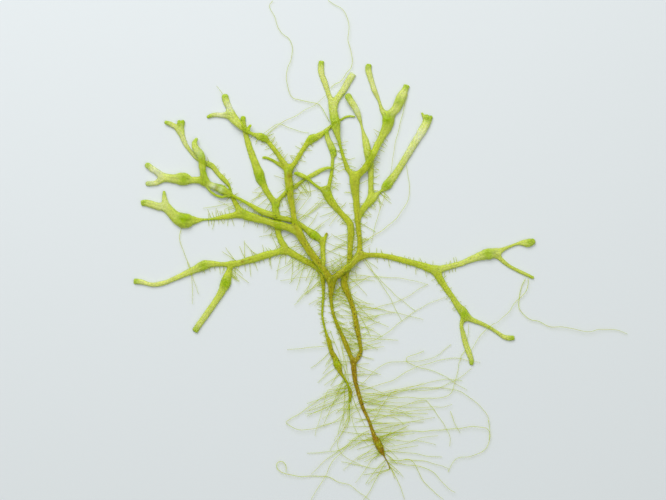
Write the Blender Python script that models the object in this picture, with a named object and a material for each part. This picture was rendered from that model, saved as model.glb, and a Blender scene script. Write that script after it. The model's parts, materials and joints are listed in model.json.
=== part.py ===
"""Riccia: the thallus of a small forking liverwort with its rhizoids, lying on a flat surface.

Units are metres, +Z up. The plant lies in the XY plane with its underside at Z = 0, its old brown
base towards -Y and its growing tips towards +Y. Every branch is a flattened ribbon swept along a
smooth course. The plant is split a short way past each main fork, so that a fork's two short arms
belong to the branch that carries them. Rhizoids are single fine threads.
"""

import math

import bpy
from mathutils import Vector

# Driving dimensions, in metres
GRID = 0.0001  # one step of the drawing grid: a typical ribbon is 8 steps, so 0.8 mm, wide
SPLIT_GAP = 0.00005  # between the faces of two branches where the plant is split
ARM = 0.0008  # length of a fork's arm that stays with the branch below the fork
RING_SPACING = 0.0009  # largest distance between two cross-sections of a ribbon
THREAD_SPACING = 0.0016  # the same for a rhizoid
THREAD_WIDTH = 0.0001  # width of a rhizoid at its root
THREAD_TIP_WIDTH = 0.00006  # and at its tip
THREAD_LIFT = 0.00003  # a rhizoid's underside above the surface

# Shape of a cross-section
RIBBON_SIDES = 6
THREAD_SIDES = 4
THIN_THICKNESS = 0.00012  # thickness of a ribbon = THIN_THICKNESS + THICKNESS_SHARE * width
THICKNESS_SHARE = 0.37
ROOTED_LIFT = 0.00003  # how far a limb's underside starts above that of the limb it grows from
ROOTED_REACH = 0.0009  # and the length over which it comes down
TIP_ROUNDING = 0.42  # length of a tip's rounded end, as a share of its width
TIP_ANGLES = (50,)  # degrees round the quarter circle of a rounded end, between its sides and pole
COURSE_STEPS = 6  # points worked out between two hand-placed points of a course

# The place on the drawing grid, x to the right and y down, that is the part's origin
ORIGIN_X = 380.3
ORIGIN_Y = 250.0

# Colours, linear red, green and blue
TIP_GREEN = (0.20, 0.38, 0.010)
YOUNG_GREEN = (0.30, 0.42, 0.015)
OLD_OLIVE = (0.26, 0.29, 0.012)
BASE_BROWN = (0.10, 0.055, 0.010)
THREAD_GREEN = (0.45, 0.50, 0.12)
RIBBON_ROUGHNESS = 0.35

# Courses of the ribbons. Each point is (x, y, width, lift) in grid steps: lift is the height of
# the underside above the surface, so 0 where the ribbon rests and more where it crosses another.

# The old base and the two old stems that it carries
BASE_STEM = [
    (353.5, 361, 5.5, 0.6), (353.6, 366, 5.4, 0.3), (354.8, 379, 4.8, 0), (356.3, 385, 4, 0),
    (359.6, 397, 4.1, 0), (363.4, 409, 3.5, 0), (368.6, 420, 3.1, 0), (372.3, 430.4, 3.7, 0),
    (374.2, 435.6, 4.4, 0), (376.3, 440.2, 6.2, 0), (378.6, 444.6, 7.2, 0), (380.4, 449, 5.7, 0),
    (382.3, 452.4, 3.5, 0), (384.2, 456, 2, 0), (388.8, 465, 1.4, 0), (389.7, 469, 1.2, 0),
]
LEFT_OLD_STEM = [
    (353.5, 361, 5, 0.6), (351.2, 357.2, 4.2, 0.4), (347.6, 348.5, 4.8, 0), (345, 342.4, 4.9, 0),
    (342.2, 336, 3.9, 0), (337.2, 325, 3.2, 0), (332.5, 311, 3.2, 0), (331.5, 304, 3.3, 0.3),
    (330.9, 298, 4, 1), (331.1, 292, 5.3, 2.2), (331.6, 285.5, 7, 3.2), (331.5, 281, 7.5, 3.6),
]
RIGHT_OLD_STEM = [
    (353.5, 361, 5, 0.6), (357, 359, 4.6, 0.3), (359.4, 355.3, 4.5, 0), (360.8, 350.4, 3.9, 0),
    (360, 343.3, 3.7, 0), (357.2, 329.3, 5.4, 0), (354.4, 314, 5, 0), (352.4, 306, 4.8, 0),
    (349.8, 298.5, 5.4, 0), (347, 292, 6.7, 0), (344.6, 285.5, 7.4, 0), (344.2, 279.5, 7.2, 0),
    (346.8, 271.5, 6.5, 0), (349.2, 264, 5.8, 0), (349.9, 253, 5.3, 0), (350.4, 241.7, 5.9, 0),
    (350.8, 233, 7, 0), (350, 224.5, 7, 0), (346.2, 218.7, 6.4, 0), (341.3, 213.5, 5.8, 0),
    (336, 207.4, 6.6, 0), (331, 201, 8, 0), (327.6, 194.8, 9.2, 0), (325.6, 190.5, 8.4, 0),
]
RIGHT_OLD_STEM_PARTS_AT = (344.4, 282)  # where the old stem is split, just below the right stem
OUTER_OLD_STEM = [
    (285, 250, 7.3, 0.3), (290, 252.3, 7.2, 0), (301, 258.5, 6.3, 0), (312.5, 264.7, 5.8, 0),
    (317.5, 268.2, 5.5, 0), (321, 272.6, 5.2, 0), (322.7, 279.5, 4.5, 0), (323.4, 295, 2.9, 0),
    (322.4, 310, 2.4, 0), (322.4, 317, 2.3, 0), (325.1, 329.3, 2.3, 0), (326.7, 335, 3, 0),
    (328.6, 340.5, 4.5, 0), (331.9, 352.5, 5.2, 0), (335.2, 358.2, 6, 0), (337.2, 364, 7.8, 0),
    (339, 368.6, 6, 0), (341, 373.3, 3.6, 0), (346.3, 381.2, 2.5, 0), (348.7, 386.6, 2.2, 0),
    (350.6, 392, 3.8, 0), (350.4, 396.5, 3, 0), (350, 402, 1.4, 0),
]

# The left stem and what it carries
LEFT_STEM = [
    (331.5, 281, 7.5, 3.6), (326.5, 274, 7.2, 3.4), (322, 268, 7, 3.4), (316.2, 259.8, 7.3, 3.4),
    (311, 253, 7.5, 3.5), (305.6, 245, 7.5, 3.7), (300.7, 236.5, 8, 4), (297, 229, 7.6, 4.2),
    (294.5, 220, 6, 4.3), (293, 210, 5.6, 4), (291.5, 203, 6.3, 3.9), (290.3, 195, 6.8, 3.8),
    (289.6, 187.5, 8.3, 3.8), (288.5, 180, 8.4, 3.2), (288.4, 173.5, 8.4, 2.5), (288.8, 169, 8.6, 2),
]
UPPER_LEFT_BRANCH = [
    (288.8, 169, 7, 2), (285, 164.5, 5.8, 1.2), (281.5, 159.6, 5, 0.4), (274.7, 150, 4.5, 0),
    (268.4, 142.2, 4.6, 0), (265.5, 139.2, 6.6, 0), (261.3, 137.2, 8, 0.3), (256, 135.4, 5, 1.6),
    (251, 133.4, 3, 3.2), (247, 131.4, 3.6, 4.2), (243, 128, 6, 4.3), (238, 123.3, 8, 3.4),
    (233.5, 118.5, 9.4, 1.4), (230.5, 114.5, 9, 0.6),
]
UPPER_LEFT_TIP_UP = [
    (230.5, 114.5, 8, 0.6), (229.2, 108, 6.4, 0), (226.9, 103, 7, 0), (225.6, 99.2, 7.3, 0),
    (225, 94.2, 6.2, 0),
]
UPPER_LEFT_TIP_LEFT = [
    (231, 115, 7, 0.6), (222, 115.3, 5.1, 0), (216, 114.8, 4.7, 0), (211.5, 115.6, 4.2, 0),
    (207, 117.4, 2.8, 0),
]
UPPER_LEFT_SPUR = [(248.5, 131.8, 3, 4), (249.3, 127.8, 3, 4.4), (251.4, 125, 2.6, 4.8)]
UPPER_LEFT_SPRIG = [
    (286, 168.5, 4.4, 1.4), (282, 166.3, 3.8, 0.8), (278, 163.9, 3.4, 0.2), (273, 160.6, 3, 0),
    (265.5, 157.6, 2.8, 0), (262.2, 157.9, 2.4, 0),
]
UPPER_MIDDLE_BRANCH = [
    (288.8, 169, 7, 2), (294, 164, 5, 1.2), (299.4, 155.6, 4.7, 0), (303, 149.6, 4.8, 0),
    (307, 144, 5.4, 0), (311.5, 139.2, 8.6, 0), (317.5, 136.6, 7, 0), (323, 133, 4.8, 0),
    (328, 129, 4, 0), (335.5, 122.8, 3, 0), (341, 119.8, 2.4, 0), (345.5, 117.1, 2.3, 0),
    (350, 116.3, 2.3, 0.2), (355, 116.8, 1.9, 0.4),
]

# The long ribbon that runs from the left stem, under and over the others, to the far left
LONG_RIBBON = [
    (321.5, 267, 5, 3.4), (323.6, 261, 4.6, 2.8), (323, 255, 4.8, 1.6), (322.8, 250, 5.1, 0.6),
    (322.6, 245.5, 5.6, 0), (321.5, 241, 6.4, 0), (318.8, 238.6, 6.8, 0), (314, 235, 8.8, 0),
    (307, 229.8, 6, 0), (301, 225, 4.8, 0), (294.5, 221.4, 5, 0), (287.5, 219.4, 5.4, 1.6),
    (280.5, 217.9, 5.2, 4.3), (272.5, 215.2, 6, 4.4), (264, 212.4, 6, 3.6), (257, 208.9, 5, 3.4),
    (250, 204.8, 3.9, 3.6), (240, 199.2, 3.1, 3.6), (233.5, 196.2, 3.4, 3.4), (228.5, 192.6, 6.4, 3),
    (222, 188.8, 9.2, 2.4), (214.5, 186.3, 6.8, 2.2), (209, 184.2, 6.6, 2), (204.5, 181, 8.6, 1.8),
]
LONG_RIBBON_SPUR = [(322.6, 242.5, 5, 0), (325, 237.8, 3.5, 0.4), (327.1, 232.8, 2.6, 0.8)]
LONG_RIBBON_RIM = [
    (206, 183, 3.4, 2), (207.6, 187.5, 2.6, 2), (211, 191.8, 2.5, 2), (216, 195.2, 2.5, 2.2),
    (222, 197, 2.5, 2.6), (230, 195.4, 2.6, 3),
]
LEFT_FORKED_TIP = [
    (204.5, 181, 8, 1.8), (197, 180.2, 6.8, 1), (190.5, 180, 7.4, 0.4), (183.3, 179, 13, 0),
    (176, 178.8, 9.6, 0), (169.5, 178.3, 8.6, 0), (163.5, 177.5, 8.4, 0),
]
LEFT_FORKED_TIP_UPPER = [
    (163.5, 177.5, 7, 0), (157.3, 172.4, 6.6, 0), (152, 168.8, 6.3, 0.4), (145.8, 163.8, 5.4, 1),
]
LEFT_FORKED_TIP_LOWER = [
    (163.5, 177.5, 7, 0), (157, 182.5, 5.5, 0), (151, 183.6, 5.1, 0), (145.6, 183.8, 4.8, 0),
]
LEFT_LEAF = [
    (204.5, 181, 8, 1.8), (204, 176.8, 7, 2.6), (203.2, 171.5, 6.4, 3.6), (202.6, 166.5, 7.3, 4),
    (202.3, 161.5, 7.6, 4), (201.5, 156.5, 8, 4.2), (198.8, 152.2, 8, 4.2), (195.6, 147.5, 6.6, 3.8),
    (195, 143, 5.2, 3.6), (197.4, 138.4, 2.4, 3.6),
]

# The left branch and the two that it forks into
LEFT_BRANCH = [
    (298, 232, 7.5, 4.1), (290.5, 228.4, 7.5, 4.1), (284, 226.3, 7.5, 4.4), (277.5, 224.8, 8, 4.6),
    (267.5, 221.6, 6.8, 3.2), (259.6, 219.4, 7.6, 1.8), (251.2, 217, 9, 0.9), (245, 214.8, 9.5, 0.6),
    (241, 213.5, 9, 0.6),
]
FAR_LEFT_BRANCH = [
    (241, 213.5, 8, 0.6), (235, 215.3, 6.5, 0.3), (224.5, 216.9, 5.1, 0), (217.5, 218.2, 3.6, 0),
    (210.5, 219.2, 2.2, 0), (203.5, 219.6, 2.6, 0), (197.2, 220.2, 5.6, 0), (191, 220.4, 10, 0),
    (184.8, 220.8, 15.5, 0), (178.5, 218.6, 13, 0), (173.5, 214.6, 10.6, 0), (169, 210, 9.6, 0),
    (165, 206.5, 8.8, 0),
]
FAR_LEFT_TIP_LEFT = [
    (165, 206.5, 8, 0), (158, 206.4, 7.5, 0), (150.8, 204, 7.4, 0), (145.4, 202.9, 6.6, 0),
    (141, 203.3, 5.5, 0),
]
FAR_LEFT_TIP_UP = [
    (166, 207, 7, 0), (165.5, 202.5, 6.2, 0.3), (164.6, 198, 5, 0.8), (164.2, 191, 2.4, 1.4),
]
HIGH_LEFT_BRANCH = [
    (241, 213.5, 7, 0.6), (238.3, 208.3, 5.8, 0), (233, 198.3, 4.4, 0), (231, 192.5, 2.8, 0),
    (228.7, 187, 3, 0), (225.1, 181.6, 4.8, 0), (218, 173.4, 4.8, 0), (214.8, 169, 5, 0),
    (211.4, 165.6, 5.9, 0), (207.4, 163.9, 5.5, 0), (202.5, 161.6, 5, 0), (196.5, 157.5, 4.8, 0),
    (192, 153.1, 3.9, 0), (186, 145, 4.4, 0), (184, 140.5, 5.2, 0), (180.5, 131.3, 6.4, 0),
]
HIGH_LEFT_TIP_LEFT = [
    (180.5, 131.3, 6, 0), (176, 127.2, 5.2, 0.2), (171, 124.3, 4.8, 0.6), (164.6, 122, 3.6, 1),
]
HIGH_LEFT_TIP_UP = [(180.5, 131.5, 6, 0), (181.2, 128, 5.6, 0), (181, 124, 7.6, 0.2), (181, 120, 7, 0.4)]

# The lower left stem and what it carries
LOWER_LEFT_STEM = [
    (285, 250, 7, 0.3), (276.5, 252.3, 6.3, 0), (268.5, 254.4, 7.4, 0), (258.7, 257.4, 7.5, 0),
    (248.5, 260.4, 6.8, 0), (240, 262.8, 6.3, 0), (231, 264.5, 6.4, 0),
]
LOWER_LEFT_BRANCH = [
    (231, 264.5, 6, 0), (226, 264.4, 5.1, 0), (220.5, 264.2, 4.7, 0), (214.2, 264, 6.4, 0),
    (209.5, 264, 7.8, 0), (204.5, 265.2, 10, 0), (200, 267, 9.3, 0), (195.3, 269.4, 7.6, 0),
    (188.5, 272.4, 6.7, 0), (180.5, 276, 5.3, 0), (167, 281.9, 4.6, 0), (160.3, 283.8, 4.8, 0),
    (153.2, 284.6, 4.4, 0.2), (147, 283.5, 4.2, 0.3), (141.2, 281.7, 5.2, 0.2), (133.4, 281.1, 5.8, 0),
]
DROOPING_LEFT_BRANCH = [
    (231, 264.5, 6, 0), (229.8, 269, 5.3, 0), (228.8, 272.5, 6.3, 0), (227.2, 277.5, 9, 0),
    (225.3, 284, 10.6, 0), (222.6, 290, 8, 0), (218.5, 297, 6.8, 0), (210, 309.5, 6.4, 0),
    (201, 322, 6.4, 0), (194.4, 331.8, 6.2, 0),
]
INNER_LEFT_STEM = [
    (285, 250, 7.5, 0.3), (284, 246, 6.8, 0), (281.5, 241.5, 6.1, 0), (279, 235.5, 5.9, 0),
    (278, 229, 6.5, 0), (277.8, 222, 7.5, 0), (276.4, 214.5, 7.5, 0), (275.4, 208.5, 7, 0),
    (275.8, 204, 7.2, 0.2),
]
INNER_LEFT_BRANCH = [
    (275.8, 204, 6.5, 0.2), (272.5, 200, 5.8, 0), (265.4, 190, 5.6, 0), (263.4, 184.8, 6.4, 0),
    (261, 180, 8.8, 0), (259, 174.3, 9.3, 0), (256.2, 166.4, 7.2, 0), (250.8, 152, 5.8, 0),
    (246, 138, 4.8, 0), (243.8, 126, 4.3, 0), (243.2, 121.3, 4.9, 0), (243.1, 115.8, 5.2, 0),
]
CROSSING_BRANCH = [
    (276, 204.5, 5, 0.3), (279, 199.6, 4.1, 0), (283.5, 195, 4.2, 0), (288, 190.2, 4.5, 0),
    (292.5, 188, 4.8, 0), (296, 186.2, 4.6, 0), (299.5, 183, 3.4, 0), (304, 179.8, 3, 0),
    (309, 176.8, 4.2, 0), (316, 173.2, 4.8, 0), (321, 170.3, 4.2, 0.6), (325.5, 168.6, 3.4, 2),
    (329, 168, 3, 3.2), (332.5, 168.6, 2.4, 3.5),
]

# What the right old stem carries between the left stem and the centre stem
MIDDLE_LEAF = [
    (325.6, 190.5, 5, 0), (320, 188.3, 3.4, 0.6), (315, 185, 2.9, 1.8), (311, 181.6, 3, 3),
    (306.5, 178, 3.8, 3.8), (302, 175.8, 4.7, 3.8), (297.5, 174, 4.2, 3.8), (294.4, 173.1, 2.8, 3.8),
]
MIDDLE_TIP_BRANCH = [
    (325.6, 190.5, 6, 0), (328.3, 187.8, 4.6, 0), (330.4, 179, 3.8, 0), (331.8, 171.5, 3.5, 0),
    (332.3, 164, 3.4, 0), (332.7, 158.5, 3.6, 0), (333.4, 153.8, 6.6, 0), (331.4, 147, 6.8, 0.4),
    (328.8, 141.2, 5.9, 1.6), (327.2, 136.8, 5.2, 2.8), (326.3, 130.6, 4.4, 3.8),
]

# The right stem, the right branch and its two forks
RIGHT_STEM = [
    (331.5, 281, 7.5, 3.6), (337.5, 275.5, 6.6, 4.2), (343.5, 270.8, 6.8, 4.5), (350, 265.3, 7, 4.2),
    (355.5, 259.8, 7.5, 2.6), (360, 255.8, 9, 1.2),
]
RIGHT_BRANCH = [
    (360, 255.8, 9, 1.2), (366, 255.3, 5.8, 0.5), (374, 255.1, 5, 0), (382, 255.7, 5.2, 0),
    (391, 257.3, 5.6, 0), (410.5, 262.4, 6.2, 0), (420.5, 265.2, 7, 0), (428, 267.8, 8, 0),
    (436, 270.5, 9.6, 0),
]
RIGHT_UPPER_TIP = [
    (436, 270.5, 8, 0), (444, 268, 6.6, 0), (451, 266.3, 5.5, 0), (460.6, 263.6, 5.7, 0),
    (470, 259.8, 6.4, 0), (480, 256, 8.4, 0), (488.5, 254, 11.2, 0), (496.5, 252.9, 9, 0),
]
RIGHT_UPPER_TIP_OUT = [
    (496.5, 252.5, 7, 0), (503, 249.4, 4.4, 0), (510, 246.4, 2.8, 0), (517, 243.9, 3, 0),
    (522, 242.8, 5.4, 0), (527.5, 242.9, 8, 0), (534, 242.2, 6, 0.2),
]
RIGHT_UPPER_TIP_DOWN = [
    (495.5, 253.5, 7, 0), (499, 257.5, 5, 0), (503, 261.2, 4.2, 0), (510.5, 266.8, 3.5, 0),
    (527, 274.9, 3.5, 0), (533.8, 278.1, 3, 0),
]
RIGHT_LOWER_BRANCH = [
    (436, 270.5, 8.6, 0), (440, 279, 7.6, 0), (445, 287, 6.2, 0), (452.5, 297.5, 5.8, 0),
    (458.5, 306.5, 7, 0), (463.5, 312.5, 9.4, 0), (465.5, 316.5, 9.2, 0),
]
RIGHT_LOWER_TIP_OUT = [
    (466, 316.5, 7, 0), (473, 320.2, 5, 0), (480.5, 323.2, 4.3, 0), (489.7, 327.6, 3.7, 0),
    (498, 333, 3.7, 0), (504, 336.9, 4.4, 0), (509.5, 338, 5.3, 0), (514.4, 337.7, 4.4, 0),
]
RIGHT_LOWER_TIP_DOWN = [
    (464.5, 317.5, 6.5, 0), (462, 321.8, 4.5, 0), (461.4, 326, 3.9, 0), (463, 333.5, 4.7, 0),
    (466, 345, 5.6, 0), (469, 353, 5.5, 0), (471.3, 359.8, 5, 0), (471.4, 365, 4.2, 0),
]

# The centre stem and the branches at the top
CENTRE_STEM = [
    (360, 255.8, 7, 1.2), (359.5, 249.5, 5.5, 0.3), (359.7, 242, 4.5, 0), (358.2, 226, 4.8, 0),
    (357.3, 218, 5.2, 0), (356.5, 209, 6, 0), (356, 201.5, 6, 0), (355.5, 194.5, 7.6, 0.2),
    (354.9, 186.8, 9.4, 0.8), (354.6, 181, 10.4, 1.4), (354.8, 177, 10.4, 1.8),
]
TOP_BRANCH = [
    (354.8, 177, 8, 1.8), (349.8, 172.2, 5.4, 0.8), (347.2, 168, 4.6, 0.2), (344.7, 161, 3.8, 0),
    (342.7, 155, 3.4, 0), (341.2, 149.5, 3, 0.4), (340, 145, 3, 1.2), (338.9, 140, 4.2, 2.2),
    (337.2, 134, 6.3, 3.2), (336, 128, 8.6, 3.5), (335.4, 122, 9.8, 3.4), (334.2, 117, 8.9, 2.8),
    (333.3, 111, 8.8, 1.6), (333.3, 104.5, 9.4, 0.6),
]
TOP_TIP_LEFT = [
    (333.3, 104.5, 7, 0.6), (329.3, 96.5, 5, 0), (327.2, 90, 4.8, 0), (324.9, 83, 5.8, 0),
    (322.2, 76, 5.7, 0), (321, 68.5, 6.1, 0), (321.6, 60.6, 5.6, 0),
]
TOP_TIP_RIGHT = [
    (333.5, 104.5, 7.5, 0.6), (338, 97.5, 6.6, 0), (343.5, 90, 6.5, 0), (348.3, 81.5, 7, 0),
    (351.2, 76.8, 6.9, 0), (353.4, 73.4, 6.6, 0),
]
TOP_RIGHT_BRANCH = [
    (354.8, 177, 8, 1.8), (360.3, 173.2, 7, 3.2), (365.5, 167.8, 7, 4.8), (369.5, 161.5, 6.8, 5.2),
    (373.2, 154.2, 6.2, 4.9), (376.5, 147, 6.1, 3.4), (380, 140.5, 6, 1.6), (383.3, 134.3, 7, 0.6),
    (386.6, 127.5, 9.4, 0.2), (388.3, 121, 11.6, 0), (388.3, 116.8, 11.2, 0),
]
TOP_RIGHT_TIP_LEFT = [
    (387, 116.5, 6, 0), (383, 112, 4, 0), (380.7, 106.5, 2.8, 0), (379, 101, 3, 0),
    (376.6, 95.5, 4.5, 0), (374.2, 90, 5.3, 0), (372, 83, 5.5, 0), (370, 76.5, 5.8, 0),
    (368.4, 69.8, 6.5, 0), (369, 64, 5.4, 0),
]
TOP_RIGHT_TIP_RIGHT = [
    (389, 117, 8, 0), (392.5, 112.4, 6.6, 0), (396.5, 108.8, 7.6, 0), (399, 103, 8.8, 0),
    (401.4, 97, 8.8, 0), (404.6, 91, 6.4, 0), (407.1, 84.4, 5, 0),
]
RIGHT_SIDE_STEM = [
    (356.6, 211.5, 6, 0), (360.2, 211, 6.2, 0), (364, 208.3, 6.3, 0), (368, 203.6, 7.8, 0),
    (371.5, 198.5, 8.8, 0),
]
INNER_RIGHT_BRANCH = [
    (371.5, 198.5, 7, 0), (370.9, 190, 5.6, 0), (370.7, 182, 5.4, 0), (370.8, 175, 5.6, 0),
    (370.5, 167, 6.6, 0), (369.4, 158.5, 8.8, 0), (367.4, 150, 8, 0), (365.6, 141, 6.7, 0),
    (363.4, 133, 3.6, 0), (362.2, 128.5, 2.4, 0), (361.2, 124, 2.4, 0), (359.7, 119, 4, 0.4),
    (357, 112, 6, 1.6), (353.4, 105.5, 6.6, 3.2), (349.6, 99.5, 7, 4.4), (346.6, 94, 7.4, 4.8),
]
OUTER_RIGHT_BRANCH = [
    (371.5, 198.5, 7, 0), (376, 195, 4.9, 0), (379.3, 192.4, 3, 0), (381.9, 190.5, 3.2, 0),
    (386.3, 186, 9, 0), (391.4, 179.7, 8.2, 0), (397.5, 171, 7, 0), (409.8, 151, 6.5, 0),
    (416.2, 140.6, 7, 0), (422.8, 130, 7.6, 0), (426.6, 123, 7.7, 0), (429.6, 115, 7.4, 0),
]
OUTER_RIGHT_HORN = [(426, 121, 4, 0), (423.6, 116.5, 3.2, 0.2), (421.6, 112.6, 1.8, 0.4)]

# Courses of the rhizoids, from root to tip. Each point is (x, y) in grid steps.
RHIZOIDS = {
    "rhizoid_right_tip_long": [
        (525, 278.3), (521.5, 286), (519, 297), (519.5, 308), (524, 315), (530, 319.5), (538, 321.5),
        (548, 326), (562, 326.7), (572, 328.5), (581, 331.2), (590, 331.3), (598, 329.2), (612, 329.3),
        (620, 331.5), (627, 334),
    ],
    "rhizoid_right_tip_short": [
        (527.8, 278.3), (527.6, 285), (525.5, 291), (519, 298), (514, 304), (509, 311.5), (500, 319.5),
        (494.5, 323.5),
    ],
    "rhizoid_right_loop_lower": [
        (379.5, 436.4), (388, 435), (396, 433), (410, 430.7), (425, 431), (440, 430), (455, 428.3),
        (470, 426.5), (480, 427), (486.5, 428.5), (489.8, 434), (489.4, 441), (486, 448), (480, 452.5),
        (470, 455.8), (459, 457.5), (452.5, 463), (448, 472),
    ],
    "rhizoid_right_loop_upper": [
        (363.4, 400), (375, 397.5), (390, 394), (405, 390.5), (425, 387.7), (440, 387.5), (455, 390),
        (466, 395), (476, 402), (483, 409), (487.5, 417), (488.6, 425),
    ],
    "rhizoid_right_hook": [
        (366, 405.5), (385, 399.7), (405, 397.2), (430, 398), (445, 397), (451, 393), (453.5, 385),
        (456.5, 375), (459.5, 362),
    ],
    "rhizoid_base_right": [
        (388.8, 458.4), (400, 460), (409, 459.4), (414, 463), (418, 471), (424, 481), (432, 490),
        (443, 499.6),
    ],
    "rhizoid_base_outer": [
        (389.8, 461.8), (405, 463.8), (420, 466.5), (432, 471.5), (443, 482), (450, 489.5), (455, 492),
    ],
    "rhizoid_base_down": [(385.6, 462.2), (382, 469), (375, 480), (370, 490), (363.4, 499.6)],
    "rhizoid_base_left": [
        (369, 429.8), (362, 434), (350, 444), (340, 453), (334, 459), (329.5, 466), (327, 474),
        (318, 487), (310.6, 499.6),
    ],
    "rhizoid_base_left_upper": [
        (369.4, 432.8), (356, 437.5), (345, 446), (331, 456), (321, 464.5), (311, 474),
    ],
    "rhizoid_left_fold": [
        (346.4, 391), (330, 394), (315, 402), (300, 413), (290, 419.5), (286.3, 422.3), (290, 425.5),
        (297, 429), (304, 430), (315, 428), (330, 423), (345.5, 419.6),
    ],
    "rhizoid_left_down": [(350, 404.4), (349.4, 417), (345, 428), (338, 438.5), (330, 450)],
    "rhizoid_left_loop": [
        (286, 471.5), (285.6, 465.5), (281.4, 461.3), (276.6, 463.4), (277.2, 468.8), (283, 472.6),
        (296, 475.4), (312, 476), (328, 477), (338, 481.2), (350, 484.8), (360, 493), (369.5, 499.6),
    ],
    "rhizoid_top_left": [
        (329.4, 121.5), (326.6, 116), (323, 110), (318, 104.8), (310, 102.3), (300, 100), (293, 97.5),
        (289, 91.5), (286.8, 84), (286.3, 76), (288, 67), (291.3, 61), (292.4, 52), (291.5, 44.5),
        (288.5, 38.5), (283, 35), (279, 29), (275.3, 18), (269.2, 6), (272.5, 0.4),
    ],
    "rhizoid_top_right": [
        (330.8, 88.4), (335, 84.5), (340, 82.3), (344, 78), (347.2, 72), (350.4, 68), (352.2, 60),
        (350.6, 50), (348.4, 40), (348.6, 25), (346.5, 17), (341.5, 8.5), (333, 3.6), (328, 0.4),
    ],
    "rhizoid_centre_right": [
        (363.2, 242.8), (374, 235), (385, 228), (396, 219), (404, 207), (409, 195), (409, 180),
        (406, 165),
    ],
}
# Rhizoids cross one another at three heights, in turn
THREAD_LAYERS = 3
THREAD_LAYER_STEP = 0.00012


def course_point(points, i, u):
    """The point a share u of the way from hand-placed point i to the next, on a smooth curve."""
    before = points[max(i - 1, 0)]
    here = points[i]
    there = points[i + 1]
    after = points[min(i + 2, len(points) - 1)]
    span = (there - here).length
    out = (there - before) * span / max((there - here).length + (here - before).length, span)
    into = (after - here) * span / max((after - there).length + (there - here).length, span)
    a = 2 * u**3 - 3 * u**2 + 1
    b = u**3 - 2 * u**2 + u
    c = -2 * u**3 + 3 * u**2
    d = u**3 - u**2
    return here * a + out * b + there * c + into * d


class Course:
    """A smooth line through hand-placed points. Its numbers are metres: x, y, width and lift."""

    def __init__(self, steps):
        points = [
            Vector(((x - ORIGIN_X) * GRID, (ORIGIN_Y - y) * GRID, width * GRID, lift * GRID))
            for x, y, width, lift in steps
        ]
        self.line = [points[0]]
        self.at_length = [0.0]
        self.marks = [0.0]
        for i in range(len(points) - 1):
            for k in range(1, COURSE_STEPS + 1):
                point = course_point(points, i, k / COURSE_STEPS)
                point[3] = max(point[3], 0.0)
                self.at_length.append(self.at_length[-1] + (point.xy - self.line[-1].xy).length)
                self.line.append(point)
            self.marks.append(self.at_length[-1])
        self.length = self.at_length[-1]

    def at(self, s):
        """The x, y, width and lift at a distance s along the course."""
        for k in range(1, len(self.line)):
            if s <= self.at_length[k] or k == len(self.line) - 1:
                share = (s - self.at_length[k - 1]) / (self.at_length[k] - self.at_length[k - 1])
                return self.line[k - 1].lerp(self.line[k], share)

    def heading(self, s):
        """The level direction of the course at a distance s along it."""
        reach = GRID
        ahead = self.at(min(s + reach, self.length)).xy
        behind = self.at(max(s - reach, 0.0)).xy
        return (ahead - behind).normalized()

    def near(self, x, y):
        """The distance along the course of the place nearest to a point of the drawing grid."""
        goal = Vector(((x - ORIGIN_X) * GRID, (ORIGIN_Y - y) * GRID))
        best = min(range(len(self.line)), key=lambda k: (self.line[k].xy - goal).length)
        return self.at_length[best]

    def stations(self, start, end, spacing):
        """Distances along the course for cross-sections: every hand-placed point, and between."""
        found = [start]
        for low, high in zip(self.marks, self.marks[1:]):
            pieces = max(1, math.ceil((high - low) / spacing - 0.25))
            for k in range(pieces):
                s = low + (high - low) * k / pieces
                if start + spacing / 3 < s < end - spacing / 3:
                    found.append(s)
        found.append(end)
        return found


def thickness(width):
    return THIN_THICKNESS + THICKNESS_SHARE * width


def ring(place, heading, width, height, middle, sides):
    """Corners of an upright cross-section, whose top and bottom are flat."""
    side = Vector((-heading.y, heading.x))
    turn = 0.5 if sides % 4 == 0 else 0.0
    angles = [2 * math.pi * (k + turn) / sides for k in range(sides)]
    widest = max(math.cos(angle) for angle in angles)
    tallest = max(math.sin(angle) for angle in angles)
    corners = []
    for angle in angles:
        across = side * (math.cos(angle) / widest * width / 2)
        up = middle + math.sin(angle) / tallest * height / 2
        corners.append((place.x + across.x, place.y + across.y, max(up, 0.0)))
    return corners


def mesh_object(name, rings, first_pole, last_pole):
    """A closed mesh through equal rings of corners. An end with no pole is a flat face."""
    sides = len(rings[0])
    corners = [corner for section in rings for corner in section]
    faces = []
    for r in range(len(rings) - 1):
        for k in range(sides):
            a = r * sides + k
            b = r * sides + (k + 1) % sides
            faces.append((a, b, b + sides, a + sides))
    last = (len(rings) - 1) * sides
    if first_pole:
        corners.append(first_pole)
        faces += [((k + 1) % sides, k, len(corners) - 1) for k in range(sides)]
    else:
        faces.append(tuple(range(sides - 1, -1, -1)))
    if last_pole:
        corners.append(last_pole)
        faces += [(last + k, last + (k + 1) % sides, len(corners) - 1) for k in range(sides)]
    else:
        faces.append(tuple(range(last, last + sides)))
    mesh = bpy.data.meshes.new(name)
    mesh.from_pydata(corners, [], faces)
    mesh.validate()
    piece = bpy.data.objects.new(name, mesh)
    bpy.context.scene.collection.objects.link(piece)
    return piece


def section(course, s, share=1.0, beyond=0.0, raised=0.0):
    """The cross-section at a distance s, shrunk to a share and moved straight on by a distance."""
    x, y, width, lift = course.at(s)
    heading = course.heading(s)
    tall = thickness(width)
    place = Vector((x, y)) + heading * beyond
    return ring(place, heading, width * share, tall * share, lift + raised + tall / 2, RIBBON_SIDES)


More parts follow.
